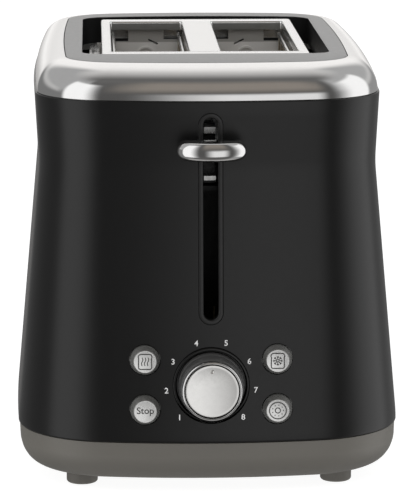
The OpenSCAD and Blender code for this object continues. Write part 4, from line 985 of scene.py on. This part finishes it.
floor_mesh = bpy.data.meshes.new("floor")
FLOOR = 15
floor_mesh.from_pydata([(-FLOOR, -FLOOR, 0), (FLOOR, -FLOOR, 0), (FLOOR, FLOOR, 0), (-FLOOR, FLOOR, 0)], [],
                       [(0, 1, 2, 3)])
floor = bpy.data.objects.new("floor", floor_mesh)
scene.collection.objects.link(floor)
pale = bpy.data.materials.new("pale_floor")
pale.use_nodes = True
pale_shader = pale.node_tree.nodes["Principled BSDF"]
pale_shader.inputs["Base Color"].default_value = (0.35, 0.35, 0.35, 1)
pale_shader.inputs["Roughness"].default_value = 0.9
pale_shader.inputs["Specular IOR Level"].default_value = 0.0
pale_shader.inputs["Emission Color"].default_value = (1, 1, 1, 1)
pale_shader.inputs["Emission Strength"].default_value = 0.92
floor_mesh.materials.append(pale)
floor.visible_glossy = False

world = bpy.data.worlds.new("studio")
scene.world = world
world.use_nodes = True
sky, sky_links = world.node_tree.nodes, world.node_tree.links
# Brightness along an arch over the object, by degrees from below the front, over the top, to the rear horizon
ARCH = [
    (-175, 0.5), (-160, 0.25), (-110, 0.45), (-80, 0.4), (-62, 0.12), (0, 0.09), (45, 0.1), (62, 0.12),
    (70, 0.14), (79, 0.13), (86, 0.2), (98, 0.43), (110, 0.64), (122, 0.88), (135, 1.0), (165, 1.0),
    (176, 0.8),
]
# Soft panels: level, warmth, then where each fades in and out, by degrees right of the front and by elevation
PANELS = [
    (0.27, 0.8, (-26, -10), (46, 24), (14, 44), (76, 56)),
    (0.2, 1.0, (-172, -158), (-50, -60), (-60, -50), (22, 6)),
    (0.3, 1.0, (46, 66), (172, 158), (-60, -50), (22, 6)),
    (0.4, 1.0, (-168, -150), (-50, -60), (4, 24), (72, 52)),
    (0.42, 1.0, (46, 66), (168, 150), (4, 24), (72, 52)),
    (1.05, 1.0, (-88, -80), (-24, -52), (-40, -30), (54, 47)),
    (1.05, 1.0, (55, 88), (124, 116), (-40, -30), (50, 42)),
    (0.8, 1.0, (-16, 8), (44, 23), (-26, -15), (24, 12)),
]


def sky_math(operation, a, b=None):
    node = sky.new("ShaderNodeMath")
    node.operation = operation
    for k, value in enumerate((a, b)):
        if isinstance(value, (int, float)):
            node.inputs[k].default_value = value
        elif value is not None:
            sky_links.new(value, node.inputs[k])
    return node.outputs[0]


def sky_span(value, start, end):
    """0 at start, 1 at end, smooth between them; start may be the larger number."""
    node = sky.new("ShaderNodeMapRange")
    node.interpolation_type = "SMOOTHSTEP"
    sky_links.new(value, node.inputs["Value"])
    rising = start < end
    for key, number in (("From Min", min(start, end)), ("From Max", max(start, end)),
                        ("To Min", 0 if rising else 1), ("To Max", 1 if rising else 0)):
        node.inputs[key].default_value = number
    return node.outputs["Result"]


def tint(level, warmth=0.97):
    return (level, level * (1 + warmth) / 2, level * warmth, 1)


direction = sky.new("ShaderNodeTexCoord")
split = sky.new("ShaderNodeSeparateXYZ")
sky_links.new(direction.outputs["Generated"], split.inputs["Vector"])
dir_x, dir_y, dir_z = split.outputs
forward = sky_math("MULTIPLY", dir_y, -1.0)
arch_place = sky_math("ADD", sky_math("MULTIPLY", sky_math("ARCTAN2", dir_z, forward), 0.5 / math.pi), 0.5)
arch = sky.new("ShaderNodeValToRGB")
stops = arch.color_ramp.elements
stops[0].color = stops[1].color = tint(1.0)
for degrees, level in ARCH:
    stops.new(degrees / 360 + 0.5).color = tint(level)
sky_links.new(arch_place, arch.inputs["Fac"])
across = sky_math("MULTIPLY", sky_math("ARCTAN2", dir_x, forward), 180 / math.pi)
upward = sky_math("MULTIPLY", sky_math("ARCSINE", dir_z), 180 / math.pi)
colour = arch.outputs["Color"]
for level, warmth, left, right, low, high in PANELS:
    share = sky_math("MULTIPLY", sky_math("MULTIPLY", sky_span(across, *left), sky_span(across, *right)),
                     sky_math("MULTIPLY", sky_span(upward, *low), sky_span(upward, *high)))
    panel = sky.new("ShaderNodeMix")
    panel.data_type = "RGBA"
    sky_links.new(share, panel.inputs["Factor"])
    sky_links.new(colour, panel.inputs["A"])
    panel.inputs["B"].default_value = tint(level, warmth)
    colour = panel.outputs["Result"]
sky_links.new(colour, sky["Background"].inputs["Color"])


AIM_Z = 0.1


def softbox(name, turned_by, raised, distance, width, height, radiance):
    """Area light that faces the object and lights only matt surfaces.

    turned_by is in degrees to the right of the front, and raised is its elevation in degrees.
    """
    light = bpy.data.lights.new(name, "AREA")
    light.shape = "RECTANGLE"
    light.size, light.size_y = width, height
    light.energy = radiance * math.pi * width * height
    obj = bpy.data.objects.new(name, light)
    scene.collection.objects.link(obj)
    a, e = math.radians(turned_by), math.radians(raised)
    away = Vector((math.sin(a) * math.cos(e), -math.cos(a) * math.cos(e), math.sin(e)))
    obj.location = Vector((0, 0, AIM_Z)) + away * distance
    obj.rotation_euler = away.to_track_quat("Z", "Y").to_euler()
    obj.visible_camera = False
    obj.visible_glossy = False


softbox("top_fill", 0, 80, 2.6, 2.4, 2.4, 0.75)
softbox("front_fill", 0, 50, 2.8, 2.2, 1.4, 0.8)

camera_data = bpy.data.cameras.new("camera")
camera_data.lens = 221.06
camera_data.sensor_width = 36
camera_data.clip_end = 100
camera = bpy.data.objects.new("camera", camera_data)
scene.collection.objects.link(camera)
CAMERA_DIP, CAMERA_TURN = 0.1823, -0.0374
camera.location = (-0.0539, -1.51746, 0.37192)
camera.rotation_euler = (math.pi / 2 - CAMERA_DIP, 0, CAMERA_TURN)
scene.camera = camera
